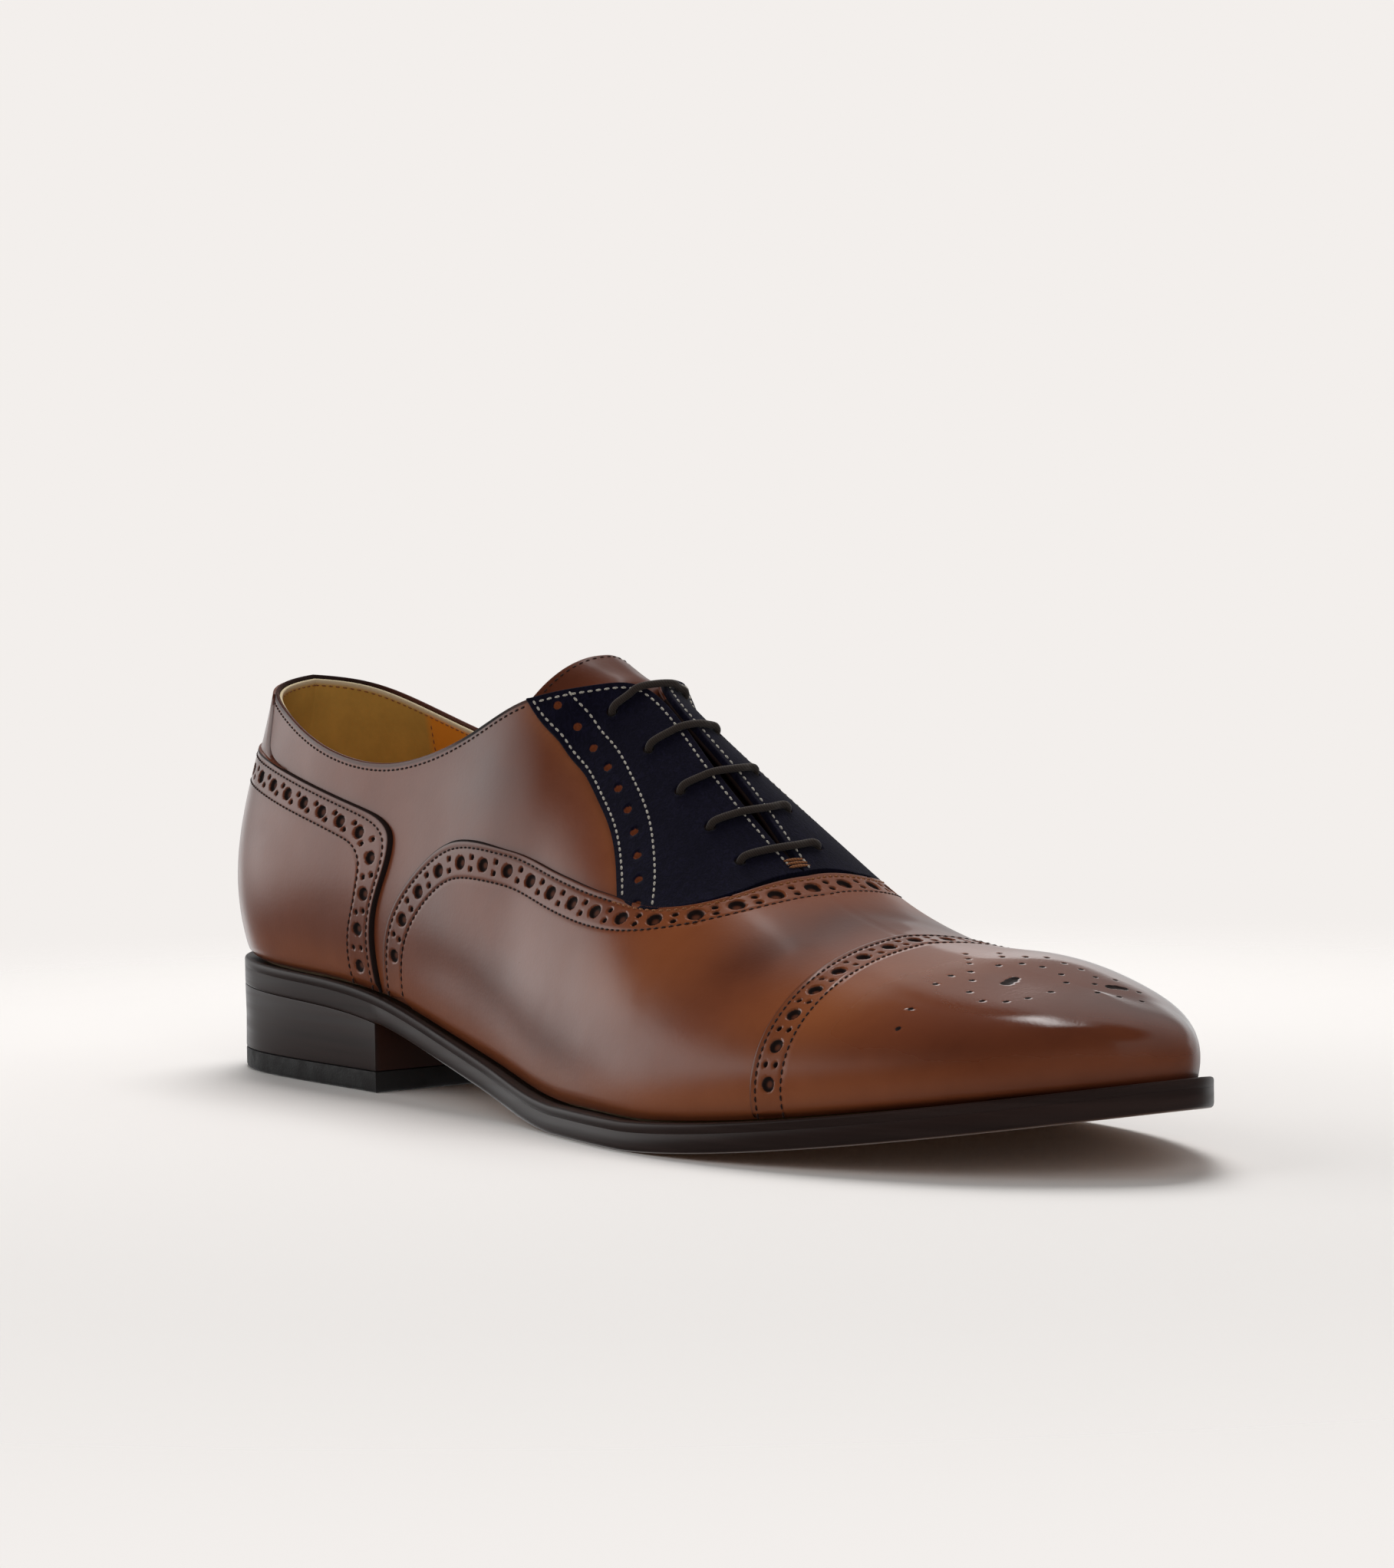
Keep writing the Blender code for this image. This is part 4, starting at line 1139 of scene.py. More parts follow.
# Stitches at the collar and on the lining: ribs, places, and the threads' radii and lift
COLLAR_RIBS = (1.52, 6.12, 260)
COLLAR_STITCH = 1.2
RIM_RIBS = (0.0, 6.6, 300)
RIM_RISE = 0.972
JOIN_RISE = (0.45, 0.955, 60)
COLLAR_THREAD = 0.24
LINING_THREAD = 0.16
THREAD_LIFT = 0.02


def wall_piece(outer, inner, drop):
    """Rows of a wall up its outer face, over a half-round edge and down its inner face.

    outer and inner are depths under the last, and drop is how far the edge stays below the collar, as a
    share of the rise. The edge is a half circle between the two faces.
    """
    u = np.arange(UPPER_COLUMNS) * RING / UPPER_COLUMNS
    rib = np.minimum(u, RING - u)
    radius = (inner - outer) / 2
    top = 1.0 - drop * (1 + THROAT_DROP * smooth(rib, *THROAT_START)) * (1 - smooth(rib, *THROAT_END))
    rise = UPPER_RISE[:, None] * top
    normals = outward(u, top)
    edge = unit(slopes(u, top)[1])
    opened = (np.abs(u - TOE) > TOE - THROAT_RIB)[:, None]
    middle = last_point(u, top) - (outer + radius) * normals
    turn = EDGE_TURN[1:-1, None, None]
    cap = middle + radius * (np.cos(turn) * normals + np.sin(turn) * edge * opened)
    rows = np.concatenate([skin(u[None], rise, -outer), cap, skin(u[None], rise[::-1], -inner)])
    level = np.concatenate([UPPER_RISE, np.ones(len(EDGE_TURN) - 2), UPPER_RISE[::-1]])
    return rows, np.broadcast_to(rib, rows.shape[:2]), np.broadcast_to(level[:, None], rows.shape[:2])


def ring_faces(rows, columns):
    """Quads round a ring, closed from its last row back to its first."""
    quads = grid_faces(rows, columns, wrap=True)
    i = np.arange(columns)
    ahead = (i + 1) % columns
    close = np.column_stack([(rows - 1) * columns + i, (rows - 1) * columns + ahead, ahead, i])
    return np.concatenate([quads, close])


class OXFORD_OT_upper(bpy.types.Operator):
    """Quarter leather and lining, each one wall round the shoe, open at collar and throat."""

    bl_idname = "oxford.upper"
    bl_label = "Upper and lining"

    def execute(self, context):
        rows, rib, level = wall_piece(0.0, UPPER_WALL, 0.0)
        dark, tan = tone(rows)
        rear = np.concatenate([points for points, _ in pair_on(seam(FACING_REAR, 1.0), 0.0)])
        gap = hole_distance(rows, rear, np.zeros(len(rear)))
        tan = np.clip(tan + FACING_TAN * np.exp(-gap / FACING_TAN_REACH), 0, 1)
        dark = np.clip(dark + COLLAR_DARK * smooth(level, *COLLAR_EDGE) * (rib < COLLAR_END), 0, 1)
        # Painted shade: the slit between the facings under the laces takes the holes' near black
        punch = np.where((level > SLIT_RISE) & (np.abs(rib - SLIT_RIB) < SLIT_REACH), SLIT_SHADE, NO_HOLE)
        make_piece("quarter_leather", rows, ring_faces(*rows.shape[:2]), "calf_burnish_and_shade", "brown_calf",
                   ("upper",), dark=dark, tan=tan, punch=punch)
        inside = UPPER_WALL + LINING_WALL
        rows, rib, level = wall_piece(UPPER_WALL + LINING_GAP, inside, LINING_DROP)
        front = smooth(rib, LINING_SEAM_RIB - LINING_SEAM_WIDTH, LINING_SEAM_RIB + LINING_SEAM_WIDTH)
        make_piece("lining", rows, ring_faces(*rows.shape[:2]), "straw_lining", "lining_leather",
                   front=front, cut=smooth(level, *LINING_CUT))
        pitch = context.scene.oxford_sizes.stitch_pitch / MM
        collar = walk(level_line(*COLLAR_RIBS, 1.0), (0.0, COLLAR_STITCH), -1.0)[-1]
        stitch_rows("collar_stitches", pair_on(collar, THREAD_LIFT), pitch, COLLAR_THREAD, "brown_thread")
        rim = level_line(*RIM_RIBS, RIM_RISE)
        join = np.linspace(*JOIN_RISE)
        join = np.column_stack([np.full(len(join), LINING_SEAM_RIB), join])
        lines = pair_on(rim, -inside - THREAD_LIFT) + pair_on(join, -inside - THREAD_LIFT)
        lines = [(points, -normals) for points, normals in lines]
        stitch_rows("lining_stitches", lines, pitch, LINING_THREAD, "tan_thread")
        return {"FINISHED"}


# Panels: spacing of their holes, grids, the vamp's front on the spine and below, and their threads
VAMP_SPACING = 1.14
COUNTER_SPACING = 1.05
PANEL_ROWS = 72
PANEL_STEP = 5
CAP_ROWS = 150
CAP_STEP = 3
CAP_FINE_RISE = 0.42
FRONT_COLUMNS = 26
FRONT_SPINE = 12.42
FRONT_FOOT = 12.55
THROAT_STITCH_RIB = 9.5
THREAD_SINK = 0.05
PANEL_THREAD = 0.22

# Tail of the counter: where its band starts to roll, grid, highest rise, and how it thins upwards
TAIL_ROLL = (1.95, 2.3)
TAIL_PITCH = 0.6
TAIL_COLUMNS = 81
TAIL_EDGE = 0.999
TAIL_TOP = 0.998
TAIL_THIN = 0.5
TAIL_FADE = (0.0, 0.3)
BAND_EDGE_PITCH = 0.8


def always_rolled(ribs):
    """Rolled edge all along."""
    return np.ones_like(ribs)


def rolled_beside_tail(ribs):
    """Rolled edge except behind, where the counter runs on up into its tail."""
    return smooth(np.minimum(np.abs(ribs), RING - np.abs(ribs)), *TAIL_ROLL)


def thinned(path, step):
    """Every so many points of a path, with its last point kept."""
    return np.concatenate([path[:-1:step], path[-1:]])


def medallion(points):
    """Centres and radii of the toe cap's holes, dropped straight down on the given points."""
    table = np.array(MEDALLION)
    low = np.where(points[:, 2] > MEDALLION_FLOOR, 0.0, np.inf)
    nearest = [np.argmin(np.linalg.norm(points[:, :2] - spot, axis=1) + low) for spot in table[:, :2]]
    return points[nearest], table[:, 2]


class OXFORD_OT_panels(bpy.types.Operator):
    """Vamp, counter and toe cap: punched bands, bodies, and their stitch lines."""

    bl_idname = "oxford.panels"
    bl_label = "Leather panels"

    def execute(self, context):
        sizes = context.scene.oxford_sizes
        height = sizes.panel / MM
        thread = height - THREAD_SINK
        rows = np.linspace(0.0, 1.0, PANEL_ROWS)
        inner = band_row(INNER_STITCH)
        outer = band_row(OUTER_STITCH)

        strip = seam_band("vamp_band", VAMP_SEAM, -1.0, height, always_rolled, ("vamp",),
                          VAMP_SPACING, LONG_HOLES)
        path = thinned(strip[-1], PANEL_STEP)
        feet = foot_line(path, VAMP_FOOT)
        spine = level_line(path[-1, 0], FRONT_SPINE, FRONT_COLUMNS, 1.0)[1:]
        front = level_line(feet[-1, 0], FRONT_FOOT, FRONT_COLUMNS, 0.0)[1:]
        grid = ruled(np.concatenate([path, spine]), np.concatenate([feet, front]), rows)
        panel_body("vamp_body", grid, height, ("vamp",), vamp_creases)
        throat = strip[outer][:, 0] > THROAT_STITCH_RIB
        brown = pair_on(strip[inner], thread) + pair_on(strip[outer][~throat], thread)
        tan_lines = pair_on(strip[outer][throat], thread)

        strip = seam_band("counter_band", COUNTER_SEAM, 1.0, height, rolled_beside_tail, ("counter",),
                          COUNTER_SPACING, LONG_HOLES, COUNTER_INNER)
        path = thinned(strip[-1], PANEL_STEP)
        grid = ruled(path, foot_line(path, COUNTER_FOOT), rows[::2])
        panel_body("counter_body", grid, height, ("counter",))
        brown += pair_on(strip[inner], thread) + pair_on(strip[outer], thread)
        self.tail(height)

        cap_height = height + CAP_OVER_VAMP
        thread = cap_height - THREAD_SINK
        strip = seam_band("cap_band", CAP_SEAM, -1.0, cap_height, always_rolled, ("toe_cap",))
        low = strip[-1][:, 1] < CAP_FINE_RISE
        path = np.concatenate([strip[-1][low][::CAP_STEP], strip[-1][~low]])
        toe = np.column_stack([np.full(len(path), float(TOE)), path[:, 1]])
        grid = ruled(path, toe, np.linspace(0.0, 1.0, CAP_ROWS))
        panel_body("cap_body", grid, cap_height, ("toe_cap",), None, medallion)
        brown += pair_on(strip[inner], thread) + pair_on(strip[outer], thread)

        pitch = sizes.stitch_pitch / MM
        stitch_rows("panel_stitches", brown, pitch, PANEL_THREAD, "brown_thread")
        stitch_rows("throat_stitches", tan_lines, pitch, PANEL_THREAD, "tan_thread")
        return {"FINISHED"}

    def tail(self, height):
        """Tail of the counter up to the collar: rows from the band's edge, its sides a rolled curve."""
        side = seam(TAIL_SEAM, TAIL_PITCH)
        across = np.linspace(-1.0, 1.0, TAIL_COLUMNS)
        rib = side[:, None, 0] * across
        band_edge = seam(COUNTER_SEAM, BAND_EDGE_PITCH)[::-1]
        floor = np.interp(np.abs(rib), *band_edge.T)
        share = np.linspace(0.0, 1.0, len(side))[:, None]
        rise = np.maximum(side[:, None, 1], floor) * share + floor * (1 - share)
        rise = np.where(np.abs(across) > TAIL_EDGE, side[:, None, 1], np.minimum(rise, TAIL_TOP))
        base = last_point(rib, rise)
        normals = outward(rib, rise)
        edge = from_sides(base)
        lift = lip_height(edge, height * (1 - TAIL_THIN * smooth(share, *TAIL_FADE)), 1.0)
        top = base + lift[..., None] * normals
        dark, tan = tone(top, edge)
        sheet_piece("counter_tail", base, top, base - PANEL_DEPTH * normals, grid_faces(*rib.shape),
                    "calf_burnish_and_shade", "brown_calf", ("counter",), dark=dark, tan=tan,
                    punch=np.full(rib.shape, NO_HOLE))


# Facings: grid, depth, stitch lines by distance from the rear seam, which runs on under the vamp for them
FACING_PITCH = 0.45
FACING_ROWS = 90
FACING_EVEN = 0.4
FACING_DEPTH = 0.4
FACING_LINES = (0.0, 1.4, 4.9, 8.4)
FACING_RUN_ON = ((9.76, 0.47), (9.92, 0.42))
TOP_RIBS = (6.3, 7.9, 80)
TOP_STITCH = 1.6
GAP_RIBS = (7.95, 10.66, 160)
GAP_STITCH = 1.7
WHITE_TOP = 0.985
WHITE_PITCH = 1.75
WHITE_THREAD = 0.26

# Holes in the cloth: where the strip's row starts and ends, radii, height of the pins beside it, depth
STRIP_START = 6.0
STRIP_STOP = 9.0
STRIP_HOLE = 0.9
PIN_OFFSET = np.array((0.0, 0.0, 0.9))
PIN_HOLE = 0.34
EYELET_HOLE = 1.15
CLOTH_HOLE_DEPTH = 0.8

# Bar tack across the foot of the lacing gap
TACK_RIBS = (10.56, 10.61, 10.66)
TACK_RISE = 0.955
TACK_LIFT = 0.35
TACK_STEPS = 30
TACK_UP = (0.35, 0.0, 0.94)
TACK_THREAD = 0.32


class OXFORD_OT_facings(bpy.types.Operator):
    """Dark blue cloth facings with a punched strip, eyelets and white stitches."""

    bl_idname = "oxford.facings"
    bl_label = "Cloth facings"

    def execute(self, context):
        sizes = context.scene.oxford_sizes
        height = sizes.cloth / MM
        low = np.concatenate([seam(FACING_REAR, FACING_PITCH), seam(FACING_FOOT, FACING_PITCH)[1:]])
        run = run_length(last_point(*low.T))
        high = np.column_stack([np.interp(run / run[-1], *np.array(FACING_TOP).T), np.ones(len(low))])
        t = np.linspace(0.0, 1.0, FACING_ROWS)
        eased_rows = 0.5 - 0.5 * np.cos(np.pi * t)
        strip = ruled(low, high, FACING_EVEN * t + (1 - FACING_EVEN) * eased_rows)
        rows = walk(seam(FACING_REAR + FACING_RUN_ON, FACING_PITCH), FACING_LINES, 1.0)
        top_row = walk(level_line(*TOP_RIBS, 1.0), (0.0, TOP_STITCH), -1.0)[-1]
        gap_row = walk(level_line(*GAP_RIBS, 1.0), (0.0, GAP_STITCH), -1.0)[-1]
        white = []
        for side in ("lateral", "medial"):
            mirror = side == "medial"
            line, _ = line_on(rows[2], height, mirror)
            self.cloth(side, mirrored(strip) if mirror else strip, line, height)
            for path in (rows[1], rows[3], top_row, gap_row):
                rib, rise = path.T
                clear = (rise > np.interp(rib, *np.array(VAMP_SEAM).T)) & (rise < WHITE_TOP)
                white.append(line_on(path[clear], height + THREAD_LIFT, mirror))
        stitch_rows("facing_stitches", white, WHITE_PITCH, WHITE_THREAD, "white_thread")
        self.bar_tack(height)
        return {"FINISHED"}

    def cloth(self, side, strip, line, height):
        """One facing: cloth with rolled edges, a row of holes along a line with pins between, and eyelets."""
        mirror = side == "medial"
        u, v = np.moveaxis(strip, -1, 0)
        base, normals = last_point(u, v), outward(u, v)
        from_low = run_length(base)
        edge = np.minimum(from_low, from_low[-1] - from_low)
        top = base + lip_height(edge, height, 1.0)[..., None] * normals
        length = run_length(line)
        places = np.arange(STRIP_START, length[-1] - STRIP_STOP, STRIP_PITCH)
        punch = hole_distance(top, read_along(places, length, line), np.full(len(places), STRIP_HOLE))
        pins = read_along(places[:-1] + 0.5 * STRIP_PITCH, length, line)
        pins = np.concatenate([pins + PIN_OFFSET, pins - PIN_OFFSET])
        rises = np.full(len(LACE_RIBS), EYELET_RISE + INNER_EYELET * mirror)
        holes, _ = line_on(np.column_stack([LACE_RIBS, rises]), height, mirror)
        radii = np.repeat((EYELET_HOLE, PIN_HOLE), (len(holes), len(pins)))
        eyelet = hole_distance(top, np.concatenate([holes, pins]), radii)
        top = press(top, normals, np.minimum(punch, eyelet), CLOTH_HOLE_DEPTH)
        sheet_piece("facing_cloth_" + side, base, top, base - FACING_DEPTH * normals, grid_faces(*u.shape),
                    "navy_flannel", "navy_cloth", ("facing_" + side,), punch=punch, eyelet=eyelet)

    def bar_tack(self, height):
        """Three long stitches from one facing to the other."""
        share = np.linspace(0.0, 1.0, TACK_STEPS)[:, None]
        tack = []
        for rib in TACK_RIBS:
            near, far = [skin(place, TACK_RISE, height + TACK_LIFT) for place in (rib, RING - rib)]
            path = near + share * (far - near)
            tack.append((path, np.broadcast_to(TACK_UP, path.shape)))
        pitch = np.linalg.norm(tack[0][0][-1] - tack[0][0][0])
        stitch_rows("bar_tack", tack, pitch, TACK_THREAD, "tan_thread")


# Tongue: points in a coarse row, grid, rounding of its edge, burnish, where its part under the laces ends,
# the hole value painted there as shade under the laces and what it gains further up, and its stitches
TONGUE_POINTS = 13
TONGUE_GRID = (90, 61)
TONGUE_ROUND = 0.8
TONGUE_EDGE = 0.02
TONGUE_DARK = 0.62
TONGUE_SHADE = (len(TONGUE_RIBS) - 1.2, len(TONGUE_RIBS) - 0.6)
TONGUE_PAINTED_SHADE = (-0.4, 9.4)
TONGUE_STITCH = 1.8
TONGUE_PITCH = 1.7
TONGUE_THREAD = 0.2
TONGUE_ENDS = slice(3, -3)


class OXFORD_OT_tongue(bpy.types.Operator):
    """Tongue under the facings, its free end arched and stitched along the edge."""

    bl_idname = "oxford.tongue"
    bl_label = "Tongue"

    def execute(self, context):
        share = np.linspace(0.0, 1.0, TONGUE_POINTS)
        lines = [self.row(rib, share) for rib in TONGUE_RIBS]
        x, _, z = lines[-1].T
        for back, up, reach_out, reach_in, fall_out, fall_in in TONGUE_END:
            y = (2 * share - 1) * np.where(share < 0.5, reach_out, reach_in)
            fall = fall_out * y ** 2 + (fall_in - fall_out) * np.maximum(y, 0.0) ** 3 / reach_in
            lines.append(np.column_stack([x - back, y, z.max() + up - fall]))
        lines = np.array(lines)
        level = np.linspace(0.0, len(lines) - 1.0, TONGUE_GRID[0])
        across = np.linspace(0.0, 1.0, TONGUE_GRID[1])
        coarse = open_spline(np.arange(len(lines)), lines, level)
        fine = np.moveaxis(open_spline(share, np.moveaxis(coarse, 1, 0), across), 0, 1)
        normals = unit(np.cross(np.gradient(fine, axis=0), np.gradient(fine, axis=1)))
        normals *= np.sign(normals[..., 2:].mean())
        edge = np.minimum(np.linalg.norm(fine - fine[-1:], axis=-1), from_sides(fine))
        round_off = np.sqrt(1 - (1 - np.clip(edge / TONGUE_ROUND, 0, 1)) ** 2)
        thin = (0.5 * TONGUE_WALL * round_off + TONGUE_EDGE)[..., None] * normals
        middle = fine - 0.5 * TONGUE_WALL * normals
        top = middle + thin
        # Painted shade: the part under the laces takes the holes' near black
        shade = np.broadcast_to(smooth(level, *TONGUE_SHADE)[:, None], edge.shape)
        sheet_piece("tongue_leather", fine, top, middle - thin, grid_faces(*edge.shape),
                    "calf_burnish_and_shade", "brown_calf", ("tongue",), dark=np.full(edge.shape, TONGUE_DARK),
                    tan=np.zeros(edge.shape), punch=TONGUE_PAINTED_SHADE[1] * shade + TONGUE_PAINTED_SHADE[0])
        step = np.linalg.norm(np.diff(fine[-2:, TONGUE_GRID[1] // 2], axis=0))
        row = -1 - int(round(TONGUE_STITCH / step))
        line = (top[row, TONGUE_ENDS], normals[row, TONGUE_ENDS])
        stitch_rows("tongue_stitches", [line], TONGUE_PITCH, TONGUE_THREAD, "brown_thread")
        return {"FINISHED"}

    def row(self, rib, share):
        """Points across the tongue under one rib, outer to inner side, at its depth under the last."""
        side = np.abs(2 * share - 1)
        u = np.where(share <= 0.5, rib, RING - rib)
        v = 1.0 - (1.0 - TONGUE_REACH) * side
        normals = unit(np.cross(*slopes(u, v)))
        return last_point(u, v) - TONGUE_DEPTH * normals


# Laces: corners and steps of a tube, the direction that sets its corners, the rise up to which the inner
# eyelets' offset counts, and half a bar from its eyelet up: rise, lift, and 1 where it rests on the cloth
LACE_SIDES = 14
LACE_STEPS = 120
LACE_UP = (0.6, 0.0, 0.8)
LACE_BACK = 0.93
LACE_END = 0.985
LACE_KNOTS = ((EYELET_RISE - 0.004, -1.6, 0.0), (EYELET_RISE - 0.002, 0.2, 0.0),
              (EYELET_RISE + 0.004, -0.5, 1.0), (EYELET_RISE + 0.025, 0.15, 1.0), (0.94, 0.0, 1.0),
              (LACE_END, 0.0, 1.0))


class OXFORD_OT_laces(bpy.types.Operator):
    """Five straight bars of round lace, each turning down into its two eyelets."""

    bl_idname = "oxford.laces"
    bl_label = "Laces"

    def execute(self, context):
        sizes = context.scene.oxford_sizes
        radius = sizes.lace / MM
        rest = sizes.cloth / MM + radius
        turn = np.linspace(0.0, 2 * np.pi, LACE_SIDES + 1)[:-1, None]
        rise, lift, resting = np.array(LACE_KNOTS).T
        lift = lift + resting * rest
        inner = np.minimum(rise + INNER_EYELET * (rise < LACE_BACK), LACE_END)
        corner = np.arange(LACE_SIDES)
        caps = np.stack([corner, LACE_STEPS * LACE_SIDES - 1 - corner])
        tubes = []
        faces = []
        for k, rib in enumerate(LACE_RIBS):
            knots = np.concatenate([skin(rib, rise, lift), skin(RING - rib, inner, lift)[::-1]])
            path = open_spline(np.arange(len(knots)), knots, np.linspace(0.0, len(knots) - 1.0, LACE_STEPS))
            tangent = unit(np.gradient(path, axis=0))
            aside = unit(np.cross(tangent, np.broadcast_to(LACE_UP, tangent.shape)))
            over = np.cross(aside, tangent)
            spokes = np.cos(turn) * aside[:, None] + np.sin(turn) * over[:, None]
            tubes.append(path[:, None] + radius * spokes)
            start = k * LACE_STEPS * LACE_SIDES
            faces += (grid_faces(LACE_STEPS, LACE_SIDES, wrap=True) + start).tolist()
            faces += (caps + start).tolist()
        make_piece("laces", np.array(tubes), faces, "waxed_lace", "lace_cord",
                   tuple("lace_bar_%d" % k for k in range(1, len(LACE_RIBS) + 1)))
        return {"FINISHED"}


# Sole and heel: columns, the middle that plates close to, fine gaps, heights, and how much of the sole's
# rounded edge is left over the heel
SOLE_COLUMNS = 432
MIDDLE_ENDS = (24.0, 280.0)
HEEL_COLUMNS = 90
BREAST_COLUMNS = 42
HEEL_MIDDLE = (42.0, 0.0)
PLATE_GAP = 0.01
SOCK_GAP = 0.25
BOARD = SOLE - WELT - PLATE_GAP
SOCK_TOP = INSOLE_RISE + 0.1
SOCK_FOOT = 0.4 - WELT
HEEL_FOOT = TOP_LIFT + 0.05
HEEL_ROUNDING = 0.1

# Welt, row by row: inset from the sole's edge, height above its top, and 1 where the inset is from the upper
WELT_PROFILE = ((0.03, -WELT, 0.0), (0.0, -WELT + 0.04, 0.0), (0.0, -0.55, 0.0), (0.12, -0.2, 0.0),
                (0.5, 0.0, 0.0), (0.9, 0.03, 0.0), (-1.6, 0.0, 1.0), (-0.9, -0.35, 1.0), (0.6, -0.55, 1.0),
                (1.6, -0.55, 1.0), (1.6, -WELT, 1.0))

# Plates, row by row from the middle on top to the middle below: inset, height, share of the way out
BOARD_PROFILE = ((0.0, BOARD, 0.0), (0.0, BOARD, 0.6), (0.6, BOARD, 1.0), (0.03, BOARD, 1.0),
                 (0.0, BOARD - 0.04, 1.0), (0.0, 1.0, 1.0), (0.12, 0.4, 1.0), (0.5, 0.06, 1.0),
                 (1.4, 0.0, 1.0), (2.2, 0.0, 1.0), (0.0, 0.0, 0.7), (0.0, 0.0, 0.35), (0.0, 0.0, 0.0))
BARE_ROWS = (0, 0, 0, 0, 0, 0, 0, 0.25, 1, 1, 1, 1, 1)
SOCK_PROFILE = ((0.0, SOCK_TOP, 0.0), (0.0, SOCK_TOP, 0.5), (1.2, SOCK_TOP, 1.0),
                (0.35, SOCK_TOP - 0.12, 1.0), (0.0, SOCK_TOP - 0.5, 1.0), (0.0, SOCK_FOOT, 1.0),
                (0.0, SOCK_FOOT, 0.0))
HEEL_PROFILE = ((0.0, 1.0, 0.0), (0.3, 1.0, 1.0), (0.05, 0.99, 1.0), (0.0, 0.97, 1.0), (0.12, 0.5, 1.0),
                (0.0, 0.03, 1.0), (0.05, 0.01, 1.0), (0.3, 0.0, 1.0), (0.0, 0.0, 0.0))
LIFT_PROFILE = ((0.0, TOP_LIFT, 0.0), (0.5, TOP_LIFT, 1.0), (0.08, TOP_LIFT - 0.15, 1.0),
                (0.0, TOP_LIFT - 0.6, 1.0), (0.0, 0.9, 1.0), (0.15, 0.35, 1.0), (0.55, 0.06, 1.0),
                (1.2, 0.0, 1.0), (0.0, 0.0, 0.0))


def plate_rows(outline, normals, centre, profile, level, rounding=1.0):
    """Rows of a closed plate: from a middle line on top, out over its edge profile, back to the middle below.

    An inset, times rounding, moves the outline inward, a share below 1 draws it towards the middle line,
    and level gives the height by x and the profile's own height.
    """
    rows = []
    for inset, height, share in profile:
        flat = centre + share * (outline - inset * rounding * normals - centre)
        rows.append(np.column_stack([flat, level(flat[:, 0], height)]))
    return np.array(rows)


def sole_outline():
    """Places round the sole, its edge, its normals and the middle line that plates close to."""
    u = np.arange(SOLE_COLUMNS) * RING / SOLE_COLUMNS
    edge, normals = sole_edge(u, 0.0)
    middle = 0.5 * (edge + sole_edge(RING - u, 0.0)[0])
    x = np.clip(middle[:, 0], *MIDDLE_ENDS)
    half = middle[:TOE * SOLE_COLUMNS // RING + 1]
    half = half[np.argsort(half[:, 0])]
    return u, edge, normals, np.column_stack([x, np.interp(x, *half.T)])


class OXFORD_OT_sole(bpy.types.Operator):
    """Welt, outsole and sock."""

    bl_idname = "oxford.sole"
    bl_label = "Sole"

    def execute(self, context):
        u, edge, normals, centre = sole_outline()
        ledge = ledge_at(u)
        welt = []
        for inset, height, beside_upper in WELT_PROFILE:
            flat = edge - (inset + beside_upper * ledge)[:, None] * normals
            welt.append(np.column_stack([flat, sole_top(flat[:, 0]) + height]))
        make_piece("welt_strip", welt, ring_faces(len(welt), len(u)), "edge_ink", "sole_leather", ("welt",),
                   breast=0.0, under=0.0)
        ahead = np.minimum(u, RING - u) > BREAST_RIB
        rounding = np.where(ahead, 1.0, HEEL_ROUNDING)[:, None]
        rows = plate_rows(edge, normals, centre, BOARD_PROFILE, lambda x, h: sole_bottom(x) + h, rounding)
        make_piece("outsole_board", rows, grid_faces(*rows.shape[:2], wrap=True), "edge_ink", "sole_leather",
                   ("outsole",), breast=0.0, under=np.outer(BARE_ROWS, ahead))
        inner = edge - (ledge + UPPER_WALL + LINING_WALL + SOCK_GAP)[:, None] * normals
        rows = plate_rows(inner, normals, centre, SOCK_PROFILE, lambda x, h: sole_top(x) + h)
        make_piece("sock", rows, grid_faces(*rows.shape[:2], wrap=True), "sock_leather", "lining_leather",
                   ("insole",))
        return {"FINISHED"}


class OXFORD_OT_heel(bpy.types.Operator):
    """Heel stack and rubber top lift."""

    bl_idname = "oxford.heel"
    bl_label = "Heel"

    def execute(self, context):
        side, _ = sole_edge(np.linspace(0.0, BREAST_RIB, HEEL_COLUMNS), 0.0)
        other, _ = sole_edge(RING - np.linspace(BREAST_RIB, 0.0, HEEL_COLUMNS)[:-1], 0.0)
        share = np.linspace(0.0, 1.0, BREAST_COLUMNS)[1:-1, None]
        breast = side[-1] + share * (other[0] - side[-1])
        outline = np.concatenate([side, breast, other])
        slope = np.roll(outline, -1, axis=0) - np.roll(outline, 1, axis=0)
        normals = unit(np.column_stack([slope[:, 1], -slope[:, 0]]))
        front = np.repeat((0.0, 1.0, 0.0), (len(side), len(breast), len(other)))

        def stack_level(x, part):
            return HEEL_FOOT + part * (sole_bottom(x) - PLATE_GAP - HEEL_FOOT)

        rows = plate_rows(outline, normals, np.array(HEEL_MIDDLE), HEEL_PROFILE, stack_level)
        make_piece("heel_block", rows, grid_faces(*rows.shape[:2], wrap=True), "edge_ink", "sole_leather",
                   ("heel_stack",), breast=np.broadcast_to(front, rows.shape[:2]), under=0.0)
        rows = plate_rows(outline, normals, np.array(HEEL_MIDDLE), LIFT_PROFILE, np.full_like)
        make_piece("heel_rubber", rows, grid_faces(*rows.shape[:2], wrap=True), "black_rubber", "lift_rubber",
                   ("heel_top_lift",))
        return {"FINISHED"}


